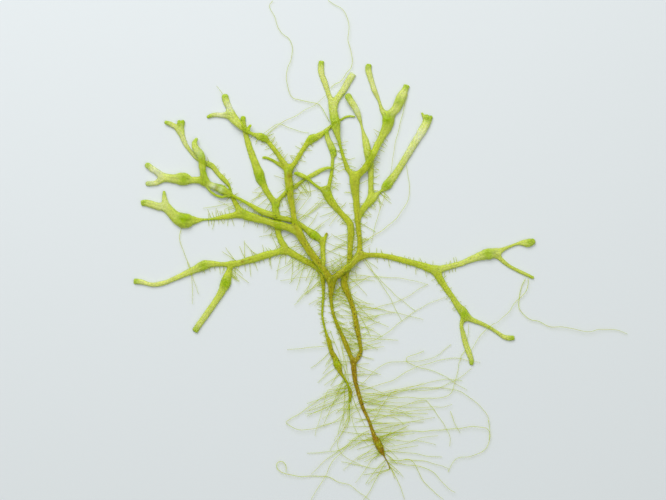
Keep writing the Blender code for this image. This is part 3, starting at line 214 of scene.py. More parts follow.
# Courses of the ribbons, from where they fork off to their tips. Each point is (x, y, width) or,
# where the ribbon is above the ground, (x, y, width, lift).
COURSES = {
    "base_stem": [
        (353.5, 361, 5.5, 0.6), (353.6, 366, 5.4, 0.3), (354.8, 379, 4.8), (356.3, 385, 4),
        (359.6, 397, 4.1), (363.4, 409, 3.5), (368.6, 420, 3.1), (372.3, 430.4, 3.7),
        (374.2, 435.6, 4.4), (376.3, 440.2, 6.8), (378.6, 444.6, 7.9), (380.6, 449, 6.6),
        (382.5, 452.6, 4.2), (384.2, 456, 1.6), (388.8, 465, 1.1), (389.7, 469, 1),
    ],
    "left_old_stem": [
        (353.5, 361, 5, 0.6), (351.2, 357.2, 4.2, 0.4), (347.6, 348.5, 4.8), (345, 342.4, 4.9),
        (342.2, 336, 3.9), (337.2, 325, 3.2), (332.5, 311, 3.2), (331.5, 304, 3.3, 0.3),
        (330.9, 298, 4, 1), (331.1, 292, 5.3, 2.2), (331.6, 285.5, 7, 3.2), (331.5, 281, 7.5, 3.6),
    ],
    "right_old_stem": [
        (353.5, 361, 5, 0.6), (357, 359, 4.6, 0.3), (359.4, 355.3, 4.5), (360.8, 350.4, 3.9),
        (360, 343.3, 3.7), (357.2, 329.3, 5.4), (354.4, 314, 5), (352.4, 306, 4.8),
        (349.8, 298.5, 5.4), (347, 292, 6.7), (344.6, 285.5, 7.4), (344.2, 279.5, 7.2),
        (346.8, 271.5, 6.5), (349.2, 264, 5.8), (349.9, 253, 5.3), (350.4, 241.7, 5.9),
        (350.8, 233, 7), (350, 224.5, 7), (346.2, 218.7, 6.4), (341.3, 213.5, 5.8),
        (336, 207.4, 6.6), (331, 201, 8), (327.6, 194.8, 9.2), (325.6, 190.5, 8.4),
    ],
    "outer_old_stem": [
        (285, 250, 7.3, 0.3), (290, 252.3, 7.2), (301, 258.5, 6.3), (312.5, 264.7, 5.8),
        (317.5, 268.2, 5.5), (321, 272.6, 5.2), (322.7, 279.5, 4.5), (323.4, 295, 2.9),
        (322.4, 310, 2.4), (322.4, 317, 2.3), (325.1, 329.3, 2.3), (326.7, 335, 3),
        (328.6, 340.5, 4.5), (331.9, 352.5, 5.2), (335.2, 358.2, 6), (337.2, 364, 7.8),
        (339, 368.6, 6), (341, 373.3, 3.6), (346.3, 381.2, 2.5), (348.7, 386.6, 2.2),
        (350.6, 392, 3.8), (350.4, 396.5, 3), (350, 402, 1.4),
    ],
    "left_stem": [
        (331.5, 281, 7.5, 3.6), (326.5, 274, 7.2, 3.4), (322, 268, 7, 3.4),
        (316.2, 259.8, 7.3, 3.4), (311, 253, 7.5, 3.5), (305.6, 245, 7.5, 3.7),
        (300.7, 236.5, 8, 4), (297, 229, 7.6, 4.2), (294.5, 220, 6, 4.3), (293, 210, 5.6, 4),
        (291.5, 203, 6.3, 3.9), (290.3, 195, 6.8, 3.8), (289.6, 187.5, 8.3, 3.8),
        (288.5, 180, 8.4, 3.2), (288.4, 173.5, 8.4, 2.5), (288.8, 169, 8.6, 2),
    ],
    "upper_left_branch": [
        (288.8, 169, 7, 2), (285, 164.5, 5.8, 1.2), (281.5, 159.6, 5, 0.4), (274.7, 150, 4.5),
        (268.4, 142.2, 4.6), (265.5, 139.2, 6.6), (261.3, 137.2, 8, 0.3), (256, 135.4, 5, 1.6),
        (251, 133.4, 3, 3.2), (247, 131.4, 3.6, 4.2), (243, 128, 6, 4.3), (238, 123.3, 8, 3.4),
        (233.5, 118.5, 9.4, 1.4), (230.5, 114.5, 9, 0.6),
    ],
    "upper_left_tip_up": [
        (230.5, 114.5, 8, 0.6), (229.2, 108, 6.4), (226.9, 103, 7), (225.6, 99.2, 7.3),
        (225, 94.2, 6.2),
    ],
    "upper_left_tip_left": [
        (231, 115, 7, 0.6), (222, 115.3, 5.1), (216, 114.8, 4.7), (211.5, 115.6, 4.2),
        (207, 117.4, 2.8),
    ],
    "upper_left_spur": [(248.5, 131.8, 3, 4), (249.3, 127.8, 3, 4.4), (251.4, 125, 2.6, 4.8)],
    "upper_left_sprig": [
        (286, 168.5, 4.4, 1.4), (282, 166.3, 3.8, 0.8), (278, 163.9, 3.4, 0.2), (273, 160.6, 3),
        (265.5, 157.6, 2.8), (262.2, 157.9, 2.4),
    ],
    "upper_middle_branch": [
        (288.8, 169, 7, 2), (294, 164, 5, 1.2), (299.4, 155.6, 4.7), (303, 149.6, 4.8),
        (307, 144, 5.4), (311.5, 139.2, 8.6), (317.5, 136.6, 7), (323, 133, 4.8), (328, 129, 4),
        (335.5, 122.8, 3), (341, 119.8, 2.4), (345.5, 117.1, 2.3), (350, 116.3, 2.3, 0.2),
        (355, 116.8, 1.9, 0.4),
    ],
    "long_ribbon": [
        (321.5, 267, 5, 3.4), (323.6, 261, 4.6, 2.8), (323, 255, 4.8, 1.6), (322.8, 250, 5.1, 0.6),
        (322.6, 245.5, 5.6), (321.5, 241, 6.4), (318.8, 238.6, 6.8), (314, 235, 8.8),
        (307, 229.8, 6), (301, 225, 4.8), (294.5, 221.4, 5), (287.5, 219.4, 5.4, 1.6),
        (280.5, 217.9, 5.2, 4.3), (272.5, 215.2, 6, 4.4), (264, 212.4, 6, 3.6),
        (257, 208.9, 5, 3.4), (250, 204.8, 3.9, 3.6), (240, 199.2, 3.1, 3.6),
        (233.5, 196.2, 3.4, 3.4), (228.3, 192.9, 5.6, 3), (221.5, 189.2, 8.8, 2.4),
        (214.5, 186.3, 6.8, 2.2), (209, 184.2, 6.6, 2), (204.5, 181, 8.6, 1.8),
    ],
    "long_ribbon_spur": [(322.6, 242.5, 5), (325, 237.8, 3.5, 0.4), (327.1, 232.8, 2.6, 0.8)],
    "long_ribbon_rim": [
        (206, 183, 3.4, 2), (207.6, 187.5, 2.6, 2), (211, 191.8, 2.5, 2), (216, 195.2, 2.5, 2.2),
        (222, 197, 2.5, 2.6), (230, 195.4, 2.6, 3),
    ],
    "left_forked_tip": [
        (204.5, 181, 8, 1.8), (197, 180.2, 6.8, 1), (190.5, 180, 7.4, 0.4), (183.3, 179, 13),
        (176, 178.8, 9.6), (169.5, 178.3, 8.6), (163.5, 177.5, 8.4),
    ],
    "left_forked_tip_upper": [
        (163.5, 177.5, 7), (157.3, 172.4, 6.6), (152, 168.8, 6.3, 0.4), (145.8, 163.8, 5.4, 1),
    ],
    "left_forked_tip_lower": [
        (163.5, 177.5, 7), (157, 182.5, 5.5), (151, 183.6, 5.1), (145.6, 183.8, 4.8),
    ],
    "left_leaf": [
        (204.5, 181, 8, 1.8), (204, 176.8, 7, 2.6), (203.2, 171.5, 6.4, 3.6),
        (202.6, 166.5, 7.3, 4), (202.3, 161.5, 7.6, 4), (201.5, 156.5, 8, 4.2),
        (198.8, 152.2, 8, 4.2), (195.6, 147.5, 6.6, 3.8), (195, 143, 5.2, 3.6),
        (197.4, 138.4, 2.4, 3.6),
    ],
    "left_branch": [
        (298, 232, 7.5, 4.1), (290.5, 228.4, 7.5, 4.1), (284, 226.3, 7.5, 4.4),
        (277.5, 224.8, 8, 4.6), (267.5, 221.6, 6.8, 3.2), (259.6, 219.4, 7.6, 1.8),
        (251.2, 217, 9, 0.9), (245, 214.8, 9.5, 0.6), (241, 213.5, 9, 0.6),
    ],
    "far_left_branch": [
        (241, 213.5, 8, 0.6), (235, 215.3, 6.5, 0.3), (224.5, 216.9, 5.1), (217.5, 218.2, 3.6),
        (210.5, 219.2, 2.2), (203.5, 219.6, 2.6), (197.2, 220.2, 5.6), (191, 220.4, 10),
        (184.8, 220.8, 15.5), (178.5, 218.6, 13), (173.5, 214.6, 10.6), (169, 210, 9.6),
        (165, 206.5, 8.8),
    ],
    "far_left_tip_left": [
        (165, 206.5, 8), (158, 206.4, 7.5), (150.8, 204, 7.4), (145.4, 202.9, 6.6),
        (141, 203.3, 5.5),
    ],
    "far_left_tip_up": [
        (166, 207, 7), (165.5, 202.5, 6.2, 0.3), (164.6, 198, 5, 0.8), (164.2, 191, 2.4, 1.4),
    ],
    "high_left_branch": [
        (241, 213.5, 7, 0.6), (238.3, 208.3, 5.8), (233, 198.3, 4.4), (231, 192.5, 2.8),
        (229.4, 186.6, 2.7), (225.8, 181.4, 4.7), (218, 173.4, 4.8), (214.8, 169, 5),
        (211.4, 165.6, 5.9), (207.4, 163.9, 5.5), (202.5, 161.6, 5), (196.5, 157.5, 4.8),
        (192, 153.1, 3.9), (186, 145, 4.4), (184, 140.5, 5.2), (180.5, 131.3, 6.4),
    ],
    "high_left_tip_left": [
        (180.5, 131.3, 6), (176, 127.2, 5.2, 0.2), (171, 124.3, 4.8, 0.6), (164.6, 122, 3.6, 1),
    ],
    "high_left_tip_up": [
        (180.5, 131.5, 6), (181.2, 128, 5.6), (181, 124, 7.6, 0.2), (181, 120, 7, 0.4),
    ],
    "lower_left_stem": [
        (285, 250, 7, 0.3), (276.5, 252.3, 6.3), (268.5, 254.4, 7.4), (258.7, 257.4, 7.5),
        (248.5, 260.4, 6.8), (240, 262.8, 6.3), (231, 264.5, 6.4),
    ],
    "lower_left_branch": [
        (231, 264.5, 6), (226, 264.4, 5.1), (220.5, 264.2, 4.7), (214.2, 264, 6.4),
        (209.5, 264, 7.8), (204.5, 265.2, 10), (200, 267, 9.3), (195.3, 269.4, 7.6),
        (188.5, 272.4, 6.7), (180.5, 276, 5.3), (167, 281.9, 4.6), (160.3, 283.8, 4.8),
        (153.2, 284.6, 4.4, 0.2), (147, 283.5, 4.2, 0.3), (141.2, 281.7, 5.2, 0.2),
        (133.4, 281.1, 5.8),
    ],
    "drooping_left_branch": [
        (231, 264.5, 6), (229.8, 269, 5.3), (228.8, 272.5, 6.3), (227.2, 277.5, 9),
        (225.3, 284, 10.6), (222.6, 290, 8), (218.5, 297, 6.8), (210, 309.5, 6.4), (201, 322, 6.4),
        (194.4, 331.8, 6.2),
    ],
    "inner_left_stem": [
        (285, 250, 7.5, 0.3), (284, 246, 6.8), (281.5, 241.5, 6.1), (279, 235.5, 5.9),
        (278, 229, 6.5), (277.8, 222, 7.5), (276.4, 214.5, 7.5), (275.4, 208.5, 7),
        (275.8, 204, 7.2, 0.2),
    ],
    "inner_left_branch": [
        (275.8, 204, 6.8, 0.2), (272.5, 200, 6.2), (265.8, 190, 6.2), (263.6, 184.8, 7),
        (261, 180, 9.4), (259.2, 174.3, 10.2), (256.4, 166.4, 8.2), (251, 152, 6.6),
        (246.7, 138, 5.6), (244.2, 126, 5), (243.3, 121.3, 5.2), (243.1, 115.8, 5.4),
    ],
    "crossing_branch": [
        (276, 204.5, 5, 0.3), (279, 199.6, 4.1), (283.5, 195, 4.2), (288, 190.2, 4.5),
        (292.5, 188, 4.8), (296, 186.2, 4.6), (299.5, 183, 3.4), (304, 179.8, 3), (309, 176.8, 4.2),
        (316, 173.2, 4.8), (321, 170.3, 4.2, 0.6), (325.5, 168.6, 3.4, 2), (329, 168, 3, 3.2),
        (332.5, 168.6, 2.4, 3.5),
    ],
    "middle_leaf": [
        (325.6, 190.5, 5), (320, 188.3, 3.4, 0.6), (315, 185, 2.9, 1.8), (311, 181.6, 3, 3),
        (306.5, 178, 3.8, 3.8), (302, 175.8, 4.7, 3.8), (297.5, 174, 4.2, 3.8),
        (294.4, 173.1, 2.8, 3.8),
    ],
    "middle_tip_branch": [
        (325.6, 190.5, 6), (328.3, 187.8, 4.6), (330.4, 179, 3.8), (331.8, 171.5, 3.5),
        (332.3, 164, 3.4), (332.7, 158.5, 3.6), (333.4, 153.8, 6.6), (331.4, 147, 6.8, 0.4),
        (328.8, 141.2, 5.9, 1.6), (327.2, 136.8, 5.2, 2.8), (326.3, 130.6, 4.4, 3.8),
    ],
    "right_stem": [
        (331.5, 281, 7.5, 3.6), (337.5, 275.5, 6.6, 4.2), (343.5, 270.8, 6.8, 4.5),
        (350, 265.3, 7, 4.2), (355.5, 259.8, 7.5, 2.6), (360, 255.8, 9, 1.2),
    ],
    "right_branch": [
        (360, 255.8, 9, 1.2), (366, 255.3, 5.8, 0.5), (374, 255.1, 5), (382, 255.7, 5.2),
        (391, 257.3, 5.6), (410.5, 262.4, 6.2), (420.5, 265.2, 7), (428, 267.8, 8),
        (436, 270.5, 9.6),
    ],
    "right_upper_tip": [
        (436, 270.5, 8), (444, 268, 6.6), (451, 266.3, 5.5), (460.6, 263.6, 5.7), (470, 259.8, 6.4),
        (480, 256, 8.4), (488.5, 254, 11.2), (496.5, 252.9, 9),
    ],
    "right_upper_tip_out": [
        (496.5, 252.5, 7), (503, 249.4, 4.4), (510, 246.4, 2.8), (517, 243.9, 3), (522, 243, 5.4),
        (527.5, 243, 8.2), (531.5, 242, 7, 0.1), (534.2, 240.9, 4.6, 0.2),
    ],
    "right_upper_tip_down": [
        (495.5, 253.5, 7), (499, 257.5, 5), (503, 261.2, 4.2), (510.5, 266.8, 3.5),
        (527, 274.9, 3.5), (533.8, 278.1, 3),
    ],
    "right_lower_branch": [
        (436, 270.5, 8.6), (440, 279, 7.6), (445, 287, 6.2), (452.5, 297.5, 5.8), (458.5, 306.5, 7),
        (463.5, 312.5, 9.4), (465.5, 316.5, 9.2),
    ],
    "right_lower_tip_out": [
        (466, 316.5, 7), (473, 320.2, 5), (480.5, 323.2, 4.3), (489.7, 327.6, 3.7), (498, 333, 3.7),
        (504, 336.9, 4.4), (509.5, 338, 5.3), (514.4, 337.7, 4.4),
    ],
    "right_lower_tip_down": [
        (464.5, 317.5, 6.5), (462, 321.8, 4.5), (461.4, 326, 3.9), (463, 333.5, 4.7),
        (466, 345, 5.6), (469, 353, 5.5), (471.3, 359.8, 5), (471.4, 365, 4.2),
    ],
    "centre_stem": [
        (360, 255.8, 7, 1.2), (359.7, 249.5, 5.5, 0.3), (359.8, 242, 4.8), (358.2, 226, 5.4),
        (357.5, 218, 6), (356.6, 209, 6.5), (356.2, 201.5, 6.6), (355.5, 194.5, 7.8, 0.2),
        (354.9, 186.8, 9.4, 0.8), (354.6, 181, 10.4, 1.4), (354.8, 177, 10.4, 1.8),
    ],
    "top_branch": [
        (354.8, 177, 8, 1.8), (349.8, 172.2, 5.4, 0.8), (347.2, 168, 4.6, 0.2), (344.7, 161, 3.8),
        (342.7, 155, 3.4), (341.2, 149.5, 3, 0.4), (340, 145, 3, 1.2), (338.9, 140, 4.2, 2.2),
        (337.2, 134, 6.3, 3.2), (336, 128, 8.6, 3.5), (335.4, 122, 9.8, 3.4),
        (334.2, 117, 8.9, 2.8), (333.3, 111, 8.8, 1.6), (333.3, 104.5, 9.4, 0.6),
    ],
    "top_tip_left": [
        (333.3, 104.5, 7, 0.6), (329.3, 96.5, 5), (327.2, 90, 4.8), (324.9, 83, 5.8),
        (322.2, 76, 5.7), (321, 68.5, 6.1), (321.6, 60.6, 5.6),
    ],
    "top_tip_right": [
        (333.5, 104.5, 7.5, 0.6), (338, 97.5, 6.6), (343.5, 90, 6.5), (348.3, 81.5, 7),
        (351.2, 76.8, 6.9), (353.4, 73.4, 6.6),
    ],
    "top_right_branch": [
        (354.8, 177, 8, 1.8), (360.3, 173.2, 7, 3.2), (365.5, 167.8, 7, 4.8),
        (369.5, 161.5, 6.8, 5.2), (373.2, 154.2, 6.8, 4.9), (376.5, 147, 6.8, 3.4),
        (380, 140.5, 7, 1.6), (383.3, 134.3, 8.2, 0.6), (386.6, 127.5, 10.4, 0.2), (388.3, 121, 12),
        (388.3, 116.8, 11.6),
    ],
    "top_right_tip_left": [
        (387, 116.5, 7), (383, 112, 5.4), (380.7, 106.5, 3.4), (379, 101, 3), (376.6, 95.5, 4.5),
        (374.2, 90, 5.3), (372, 83, 5.5), (370, 76.5, 5.8), (368.4, 69.8, 6.5), (369, 64, 5.4),
    ],
    "top_right_tip_right": [
        (389, 117, 10), (392.5, 112.6, 8.8), (396, 108.6, 9.2), (398.8, 103, 10.2),
        (401.2, 97, 9.8), (404.4, 91, 7.2), (407, 84.6, 5.8),
    ],
    "right_side_stem": [
        (358, 220, 4.6), (359.8, 214.5, 5.8), (363, 209.4, 6.4), (367.4, 204, 7.6),
        (371.5, 198.5, 8.8),
    ],
    "inner_right_branch": [
        (371.5, 198.5, 7), (370.9, 190, 5.6), (370.7, 182, 5.4), (370.8, 175, 5.6),
        (370.5, 167, 6.6), (369.4, 158.5, 8.8), (367.4, 150, 8), (365.6, 141, 6.7),
        (363.4, 133, 3.6), (362.2, 128.5, 2.4), (361.2, 124, 2.4), (359.7, 119, 4, 0.4),
        (357, 112, 6, 1.6), (353.4, 105.5, 6.6, 3.2), (349.6, 99.5, 7, 4.4), (346.6, 94, 7.4, 4.8),
    ],
    "outer_right_branch": [
        (371.5, 198.5, 7), (376, 195, 4.9), (379.3, 192.4, 3), (381.9, 190.5, 3.2), (386.3, 186, 9),
        (391.4, 179.7, 8.2), (397.5, 171, 7), (409.8, 151, 7.2), (416, 140.6, 8), (422.6, 130, 8.6),
        (426.4, 123, 8.4), (429.6, 115, 7.6),
    ],
    "outer_right_horn": [(426, 121, 4), (423.6, 116.5, 3.2, 0.2), (421.6, 112.6, 1.8, 0.4)],
}

# Brown share of the old ribbons' colour at their start and end
BROWNED = {
    "base_stem": (0.85, 1.0),
    "left_old_stem": (0.5, 0.2),
    "right_old_stem": (0.55, -0.15),
    "outer_old_stem": (0.0, 0.3),
    "left_stem": (0.12, 0.0),
    "right_stem": (0.35, 0.1),
}

# Dense green places, where a ribbon is swollen: x, y, reach and strength
NODULES = [
    (184.5, 219, 9, 0.9), (184, 179, 7, 0.7), (218, 187.5, 9, 1.0), (204, 266, 6, 0.7),
    (226, 283, 7, 0.9), (260, 178, 8, 0.9), (264, 138, 6, 0.7), (289, 172, 7, 0.6),
    (312, 139, 6, 0.6), (333, 152, 7, 0.7), (327, 193, 8, 0.5), (276, 206, 7, 0.6),
    (245, 214, 8, 0.4), (315, 236, 7, 0.9), (209, 165, 5, 0.5), (202, 155, 7, 0.7),
    (335, 122, 9, 0.7), (387, 120, 9, 0.8), (399, 102, 6, 0.6), (369, 160, 7, 0.4),
    (387, 185, 7, 0.8), (428, 118, 6, 0.8), (488, 254, 8, 0.7), (530, 242, 5, 0.6),
    (464, 314, 7, 0.7), (333, 279, 8, 0.85), (337, 363, 7, 0.6), (379, 444, 5, 0.9),
    (204, 181, 6, 0.6), (183, 128, 6, 0.3), (230, 113, 6, 0.2), (205.5, 172, 5, 0.7),
]

# Small brown places: x, y, reach and strength
BROWN_SPOTS = [
    (289.5, 176, 2.6, 0.8), (217, 188, 2.4, 0.7), (242.6, 261.4, 1.6, 0.8), (327, 233.5, 2, 0.7),
    (290.5, 181, 1.4, 0.5), (250, 259, 1.2, 0.5), (333, 279, 9, 0.75), (350.6, 392, 2.4, 0.5),
    (289.5, 173.5, 3, 0.5),
]

# Pale places, with little green left: tissue that has lost its green, and painted highlights on the wet
# skin, as the band along the outer right branch. Each is x, y, reach and strength
BLEACHED_AND_HIGHLIGHTS = [
    (213.5, 186.3, 4.2, 0.8), (220.5, 189.3, 3.4, 0.6), (352.5, 75, 5, 0.5), (419, 136, 8, 0.8),
    (410, 151, 9, 0.45), (156, 171.5, 7, 0.8), (151, 183.5, 6, 0.5), (231, 106.5, 5, 0.9),
    (220, 115, 6, 0.6), (184, 141, 7, 0.35), (357, 111, 6, 0.5), (199, 153, 5, 0.4),
    (373, 86, 6, 0.3), (345, 86, 8, 0.3), (162, 205, 8, 0.25), (255, 182, 3, 0.3),
]

# The groups of ribbons that are one piece each, with the solids that they stand for
GROUPS = {
    "base": (["base_stem"], ["base_stem"], "old_base"),
    "old_stems": (
        ["left_old_stem", "right_old_stem", "outer_old_stem"],
        ["left_old_stem", "right_old_stem", "middle_stem", "outer_old_stem"],
        "old_ribbon",
    ),
    "middle_branches": (
        ["middle_leaf", "middle_tip_branch"], ["middle_leaf", "middle_tip_branch"], "young_ribbon"
    ),
    "left_stem": (
        ["left_stem", "upper_left_branch", "upper_left_tip_up", "upper_left_tip_left",
         "upper_left_spur", "upper_left_sprig", "upper_middle_branch"],
        ["left_stem_lower", "left_stem_upper", "upper_left_branch", "upper_middle_branch"],
        "old_ribbon",
    ),
    "long_ribbon": (
        ["long_ribbon", "long_ribbon_spur", "long_ribbon_rim", "left_forked_tip",
         "left_forked_tip_upper", "left_forked_tip_lower", "left_leaf"],
        ["long_ribbon", "left_forked_tip", "left_leaf"],
        "dark_ribbon",
    ),
    "left_branches": (
        ["left_branch", "far_left_branch", "far_left_tip_left", "far_left_tip_up",
         "high_left_branch", "high_left_tip_left", "high_left_tip_up"],
        ["left_branch", "far_left_branch", "high_left_branch"],
        "young_ribbon",
    ),
    "lower_left_branches": (
        ["lower_left_stem", "lower_left_branch", "drooping_left_branch", "inner_left_stem",
         "inner_left_branch", "crossing_branch"],
        ["lower_left_stem", "lower_left_branch", "drooping_left_branch", "inner_left_stem",
         "inner_left_branch", "crossing_branch"],
        "young_ribbon",
    ),
    "right_branches": (
        ["right_stem", "right_branch", "right_upper_tip", "right_upper_tip_out",
         "right_upper_tip_down", "right_lower_branch", "right_lower_tip_out", "right_lower_tip_down"],
        ["right_stem", "right_branch", "right_upper_tip", "right_lower_branch",
         "right_lower_tip_out", "right_lower_tip_down"],
        "young_ribbon",
    ),
    "top_branches": (
        ["centre_stem", "top_branch", "top_tip_left", "top_tip_right", "top_right_branch",
         "top_right_tip_left", "top_right_tip_right"],
        ["centre_stem_lower", "centre_stem_upper", "top_branch", "top_right_branch",
         "top_right_tip_left"],
        "young_ribbon",
    ),
    "right_side_branches": (
        ["right_side_stem", "inner_right_branch", "outer_right_branch", "outer_right_horn"],
        ["right_side_stem", "inner_right_branch", "outer_right_branch"],
        "young_ribbon",
    ),
}

# Courses of the long rhizoids that have a solid, from root to tip. Each point is (x, y).
RHIZOIDS = {
    "rhizoid_right_tip_long": [
        (525, 278.3), (521.5, 286), (519, 297), (519.5, 308), (524, 315), (530, 319.5),
        (538, 321.5), (548, 326), (562, 326.7), (572, 328.5), (581, 331.2), (590, 331.3),
        (598, 329.2), (612, 329.3), (620, 331.5), (627, 334),
    ],
    "rhizoid_right_tip_short": [
        (527.8, 278.3), (527.6, 285), (525.5, 291), (519, 298), (514, 304), (509, 311.5),
        (500, 319.5), (494.5, 323.5),
    ],
    "rhizoid_right_loop_lower": [
        (379.5, 436.4), (388, 435), (396, 433), (410, 430.7), (425, 431), (440, 430), (455, 428.3),
        (470, 426.5), (480, 427), (486.5, 428.5), (489.8, 434), (489.4, 441), (486, 448),
        (480, 452.5), (470, 455.8), (459, 457.5), (452.5, 463), (448, 472),
    ],
    "rhizoid_right_loop_upper": [
        (363.4, 400), (375, 397.5), (390, 394), (405, 390.5), (425, 387.7), (440, 387.5),
        (455, 390), (466, 395), (476, 402), (483, 409), (487.5, 417), (488.6, 425),
    ],
    "rhizoid_right_hook": [
        (366, 405.5), (385, 399.7), (405, 397.2), (430, 398), (445, 397), (451, 393), (453.5, 385),
        (456.5, 375), (459.5, 362),
    ],
    "rhizoid_base_right": [
        (388.8, 458.4), (400, 460), (409, 459.4), (414, 463), (418, 471), (424, 481), (432, 490),
        (443, 499.6),
    ],
    "rhizoid_base_outer": [
        (389.8, 461.8), (405, 463.8), (420, 466.5), (432, 471.5), (443, 482), (450, 489.5),
        (455, 492),
    ],
    "rhizoid_base_down": [(385.6, 462.2), (382, 469), (375, 480), (370, 490), (363.4, 499.6)],
    "rhizoid_base_left": [
        (369, 429.8), (362, 434), (350, 444), (340, 453), (334, 459), (329.5, 466), (327, 474),
        (318, 487), (310.6, 499.6),
    ],
    "rhizoid_base_left_upper": [
        (369.4, 432.8), (356, 437.5), (345, 446), (331, 456), (321, 464.5), (311, 474),
    ],
    "rhizoid_left_fold": [
        (346.4, 391), (330, 394), (315, 402), (300, 413), (290, 419.5), (286.3, 422.3),
        (290, 425.5), (297, 429), (304, 430), (315, 428), (330, 423), (345.5, 419.6),
    ],
    "rhizoid_left_down": [(350, 404.4), (349.4, 417), (345, 428), (338, 438.5), (330, 450)],
    "rhizoid_left_loop": [
        (286, 471.5), (285.6, 465.5), (281.4, 461.3), (276.6, 463.4), (277.2, 468.8), (283, 472.6),
        (296, 475.4), (312, 476), (328, 477), (338, 481.2), (350, 484.8), (360, 493),
        (369.5, 499.6),
    ],
    "rhizoid_top_left": [
        (329.4, 121.5), (326.6, 116), (323, 110), (318, 104.8), (310, 102.3), (300, 100),
        (293, 97.5), (289, 91.5), (286.8, 84), (286.3, 76), (288, 67), (291.3, 61), (292.4, 52),
        (291.5, 44.5), (288.5, 38.5), (283, 35), (279, 29), (275.3, 18), (269.2, 6), (272.5, 0.4),
    ],
    "rhizoid_top_right": [
        (330.8, 88.4), (335, 84.5), (340, 82.3), (344, 78), (347.2, 72), (350.4, 68), (352.2, 60),
        (350.6, 50), (348.4, 40), (348.6, 25), (346.5, 17), (341.5, 8.5), (333, 3.6), (328, 0.4),
    ],
    "rhizoid_centre_right": [
        (363.2, 242.8), (374, 235), (385, 228), (396, 219), (404, 207), (409, 195), (409, 180),
        (406, 165),
    ],
}

# More long rhizoids, that stay among the others and need no solid of their own
LOOSE_RHIZOIDS = [
    [
        (390, 411), (405, 405), (420, 400), (426, 400), (430, 405), (438, 416), (445, 426),
        (450, 436), (449, 446),
    ],
    [(450, 411), (453, 420), (457, 428), (460, 433)],
    [(368, 424), (400, 422), (424, 422)],
    [(370, 427), (399, 425)],
    [(376, 439), (400, 430), (408, 429)],
    [(380, 444), (392, 452), (398, 459)],
    [(381, 450), (410, 453), (430, 456), (442, 456.5)],
    [(386, 460), (400, 460), (425, 461), (440, 465), (449, 469)],
    [(387, 466), (375, 468), (360, 465), (341, 462)],
    [(389.7, 469), (380, 473), (368, 484)],
    [(377, 442), (365, 441), (350, 445), (335, 451), (307, 453)],
    [(351, 397), (352, 415), (355, 428), (360, 437), (368, 446)],
    [
        (370, 425), (378, 413), (387, 398), (392, 392), (400, 390), (430, 389.5), (450, 383),
        (462, 376), (471, 368),
    ],
    [(349, 388), (335, 389), (328, 391), (322, 410), (318, 425), (315, 436)],
    [(350, 400), (345, 425), (340, 436), (338, 445), (343, 455), (362, 466)],
    [(459.5, 362), (461, 355), (465, 350), (468, 335), (468.5, 324)],
    [(358, 391), (375, 386), (392, 380), (412, 369), (448, 358.5), (480, 362)],
    [(424, 351), (407, 357), (407, 362), (440, 374), (467, 390)],
    [(357, 388), (385, 364), (430, 359), (451, 344)],
    [(360, 345), (385, 334), (415, 311), (447, 296)],
    [(356, 308), (375, 308), (400, 314), (423, 319)],
    [(354, 312), (375, 308), (400, 300), (428, 284)],
    [(363, 260), (380, 280), (405, 303), (415, 311)],
    [(364, 258), (385, 290), (402, 321)],
    [(344, 278), (375, 281)],
    [(347, 275), (384, 277), (410, 280), (428, 284)],
    [(332, 346), (320, 346.5), (305, 347.5), (287, 350)],
    [(322, 275), (305, 277), (280, 281)],
    [(320, 281), (294, 305)],
    [(322, 282), (304, 294), (297, 302)],
    [(283, 252), (281, 256), (276, 279)],
    [(303, 258), (298, 260), (285, 274)],
    [(182, 224), (180, 238), (190, 268), (199, 294)],
    [(188, 262), (192, 280), (193, 304)],
    [(404, 89), (407, 95), (397, 135), (390, 173), (386, 180)],
    [(385, 190), (383, 200), (373, 233), (371, 243)],
    [(494.5, 323.5), (490, 326.5), (484, 331), (476, 341), (471, 350)],
    [(263, 138), (281, 123), (293, 118), (305, 110), (316, 104), (326, 96)],
    [(263, 135), (278, 124), (290, 128), (300, 132), (309, 133)],
    [(225, 97), (223, 94), (217, 86)],
    [(359.5, 396), (380, 392), (405, 388), (440, 380), (462, 380)],
    [(361, 402), (380, 401), (400, 403), (425, 402)],
    [(364, 409), (385, 409), (402, 413), (413, 418)],
    [(366, 414), (380, 414), (398, 419), (404, 425)],
    [(360, 398), (372, 404), (392, 406), (440, 407), (452, 404)],
    [(372, 431), (390, 433), (405, 436)],
    [(374, 436), (395, 440), (420, 441), (436, 445)],
    [(379, 446), (400, 445), (422, 437), (438, 436)],
    [(360, 400), (350, 407), (336, 410), (322, 419)],
    [(357, 388), (345, 398), (332, 404), (316, 412), (305, 414)],
    [(362, 408), (352, 414), (344, 424), (334, 440)],
    [(380, 449), (368, 452), (354, 460), (343, 470)],
    [(382, 453), (372, 460), (362, 474), (355, 482)],
    [(350, 404), (346, 412), (336, 420), (326, 425), (318, 426)],
    [(333, 318), (340, 340), (346, 365), (350, 392)],
    [(341, 325), (343, 350), (345, 375), (352, 396)],
    [(330, 330), (338, 352), (348, 378), (356, 398)],
    [(352, 330), (349, 350), (345, 372), (338, 392)],
    [(331, 305), (341, 330), (351, 352), (360, 372)],
    [(488, 420), (489.2, 427), (489.6, 434), (489.4, 440)],
    [(243, 202.5), (228, 204.5), (203, 208)],
    [(239, 211), (228, 206), (218, 201)],
    [(262, 192), (256, 198), (248, 205)],
    [(256, 180), (268, 190), (275, 200)],
]

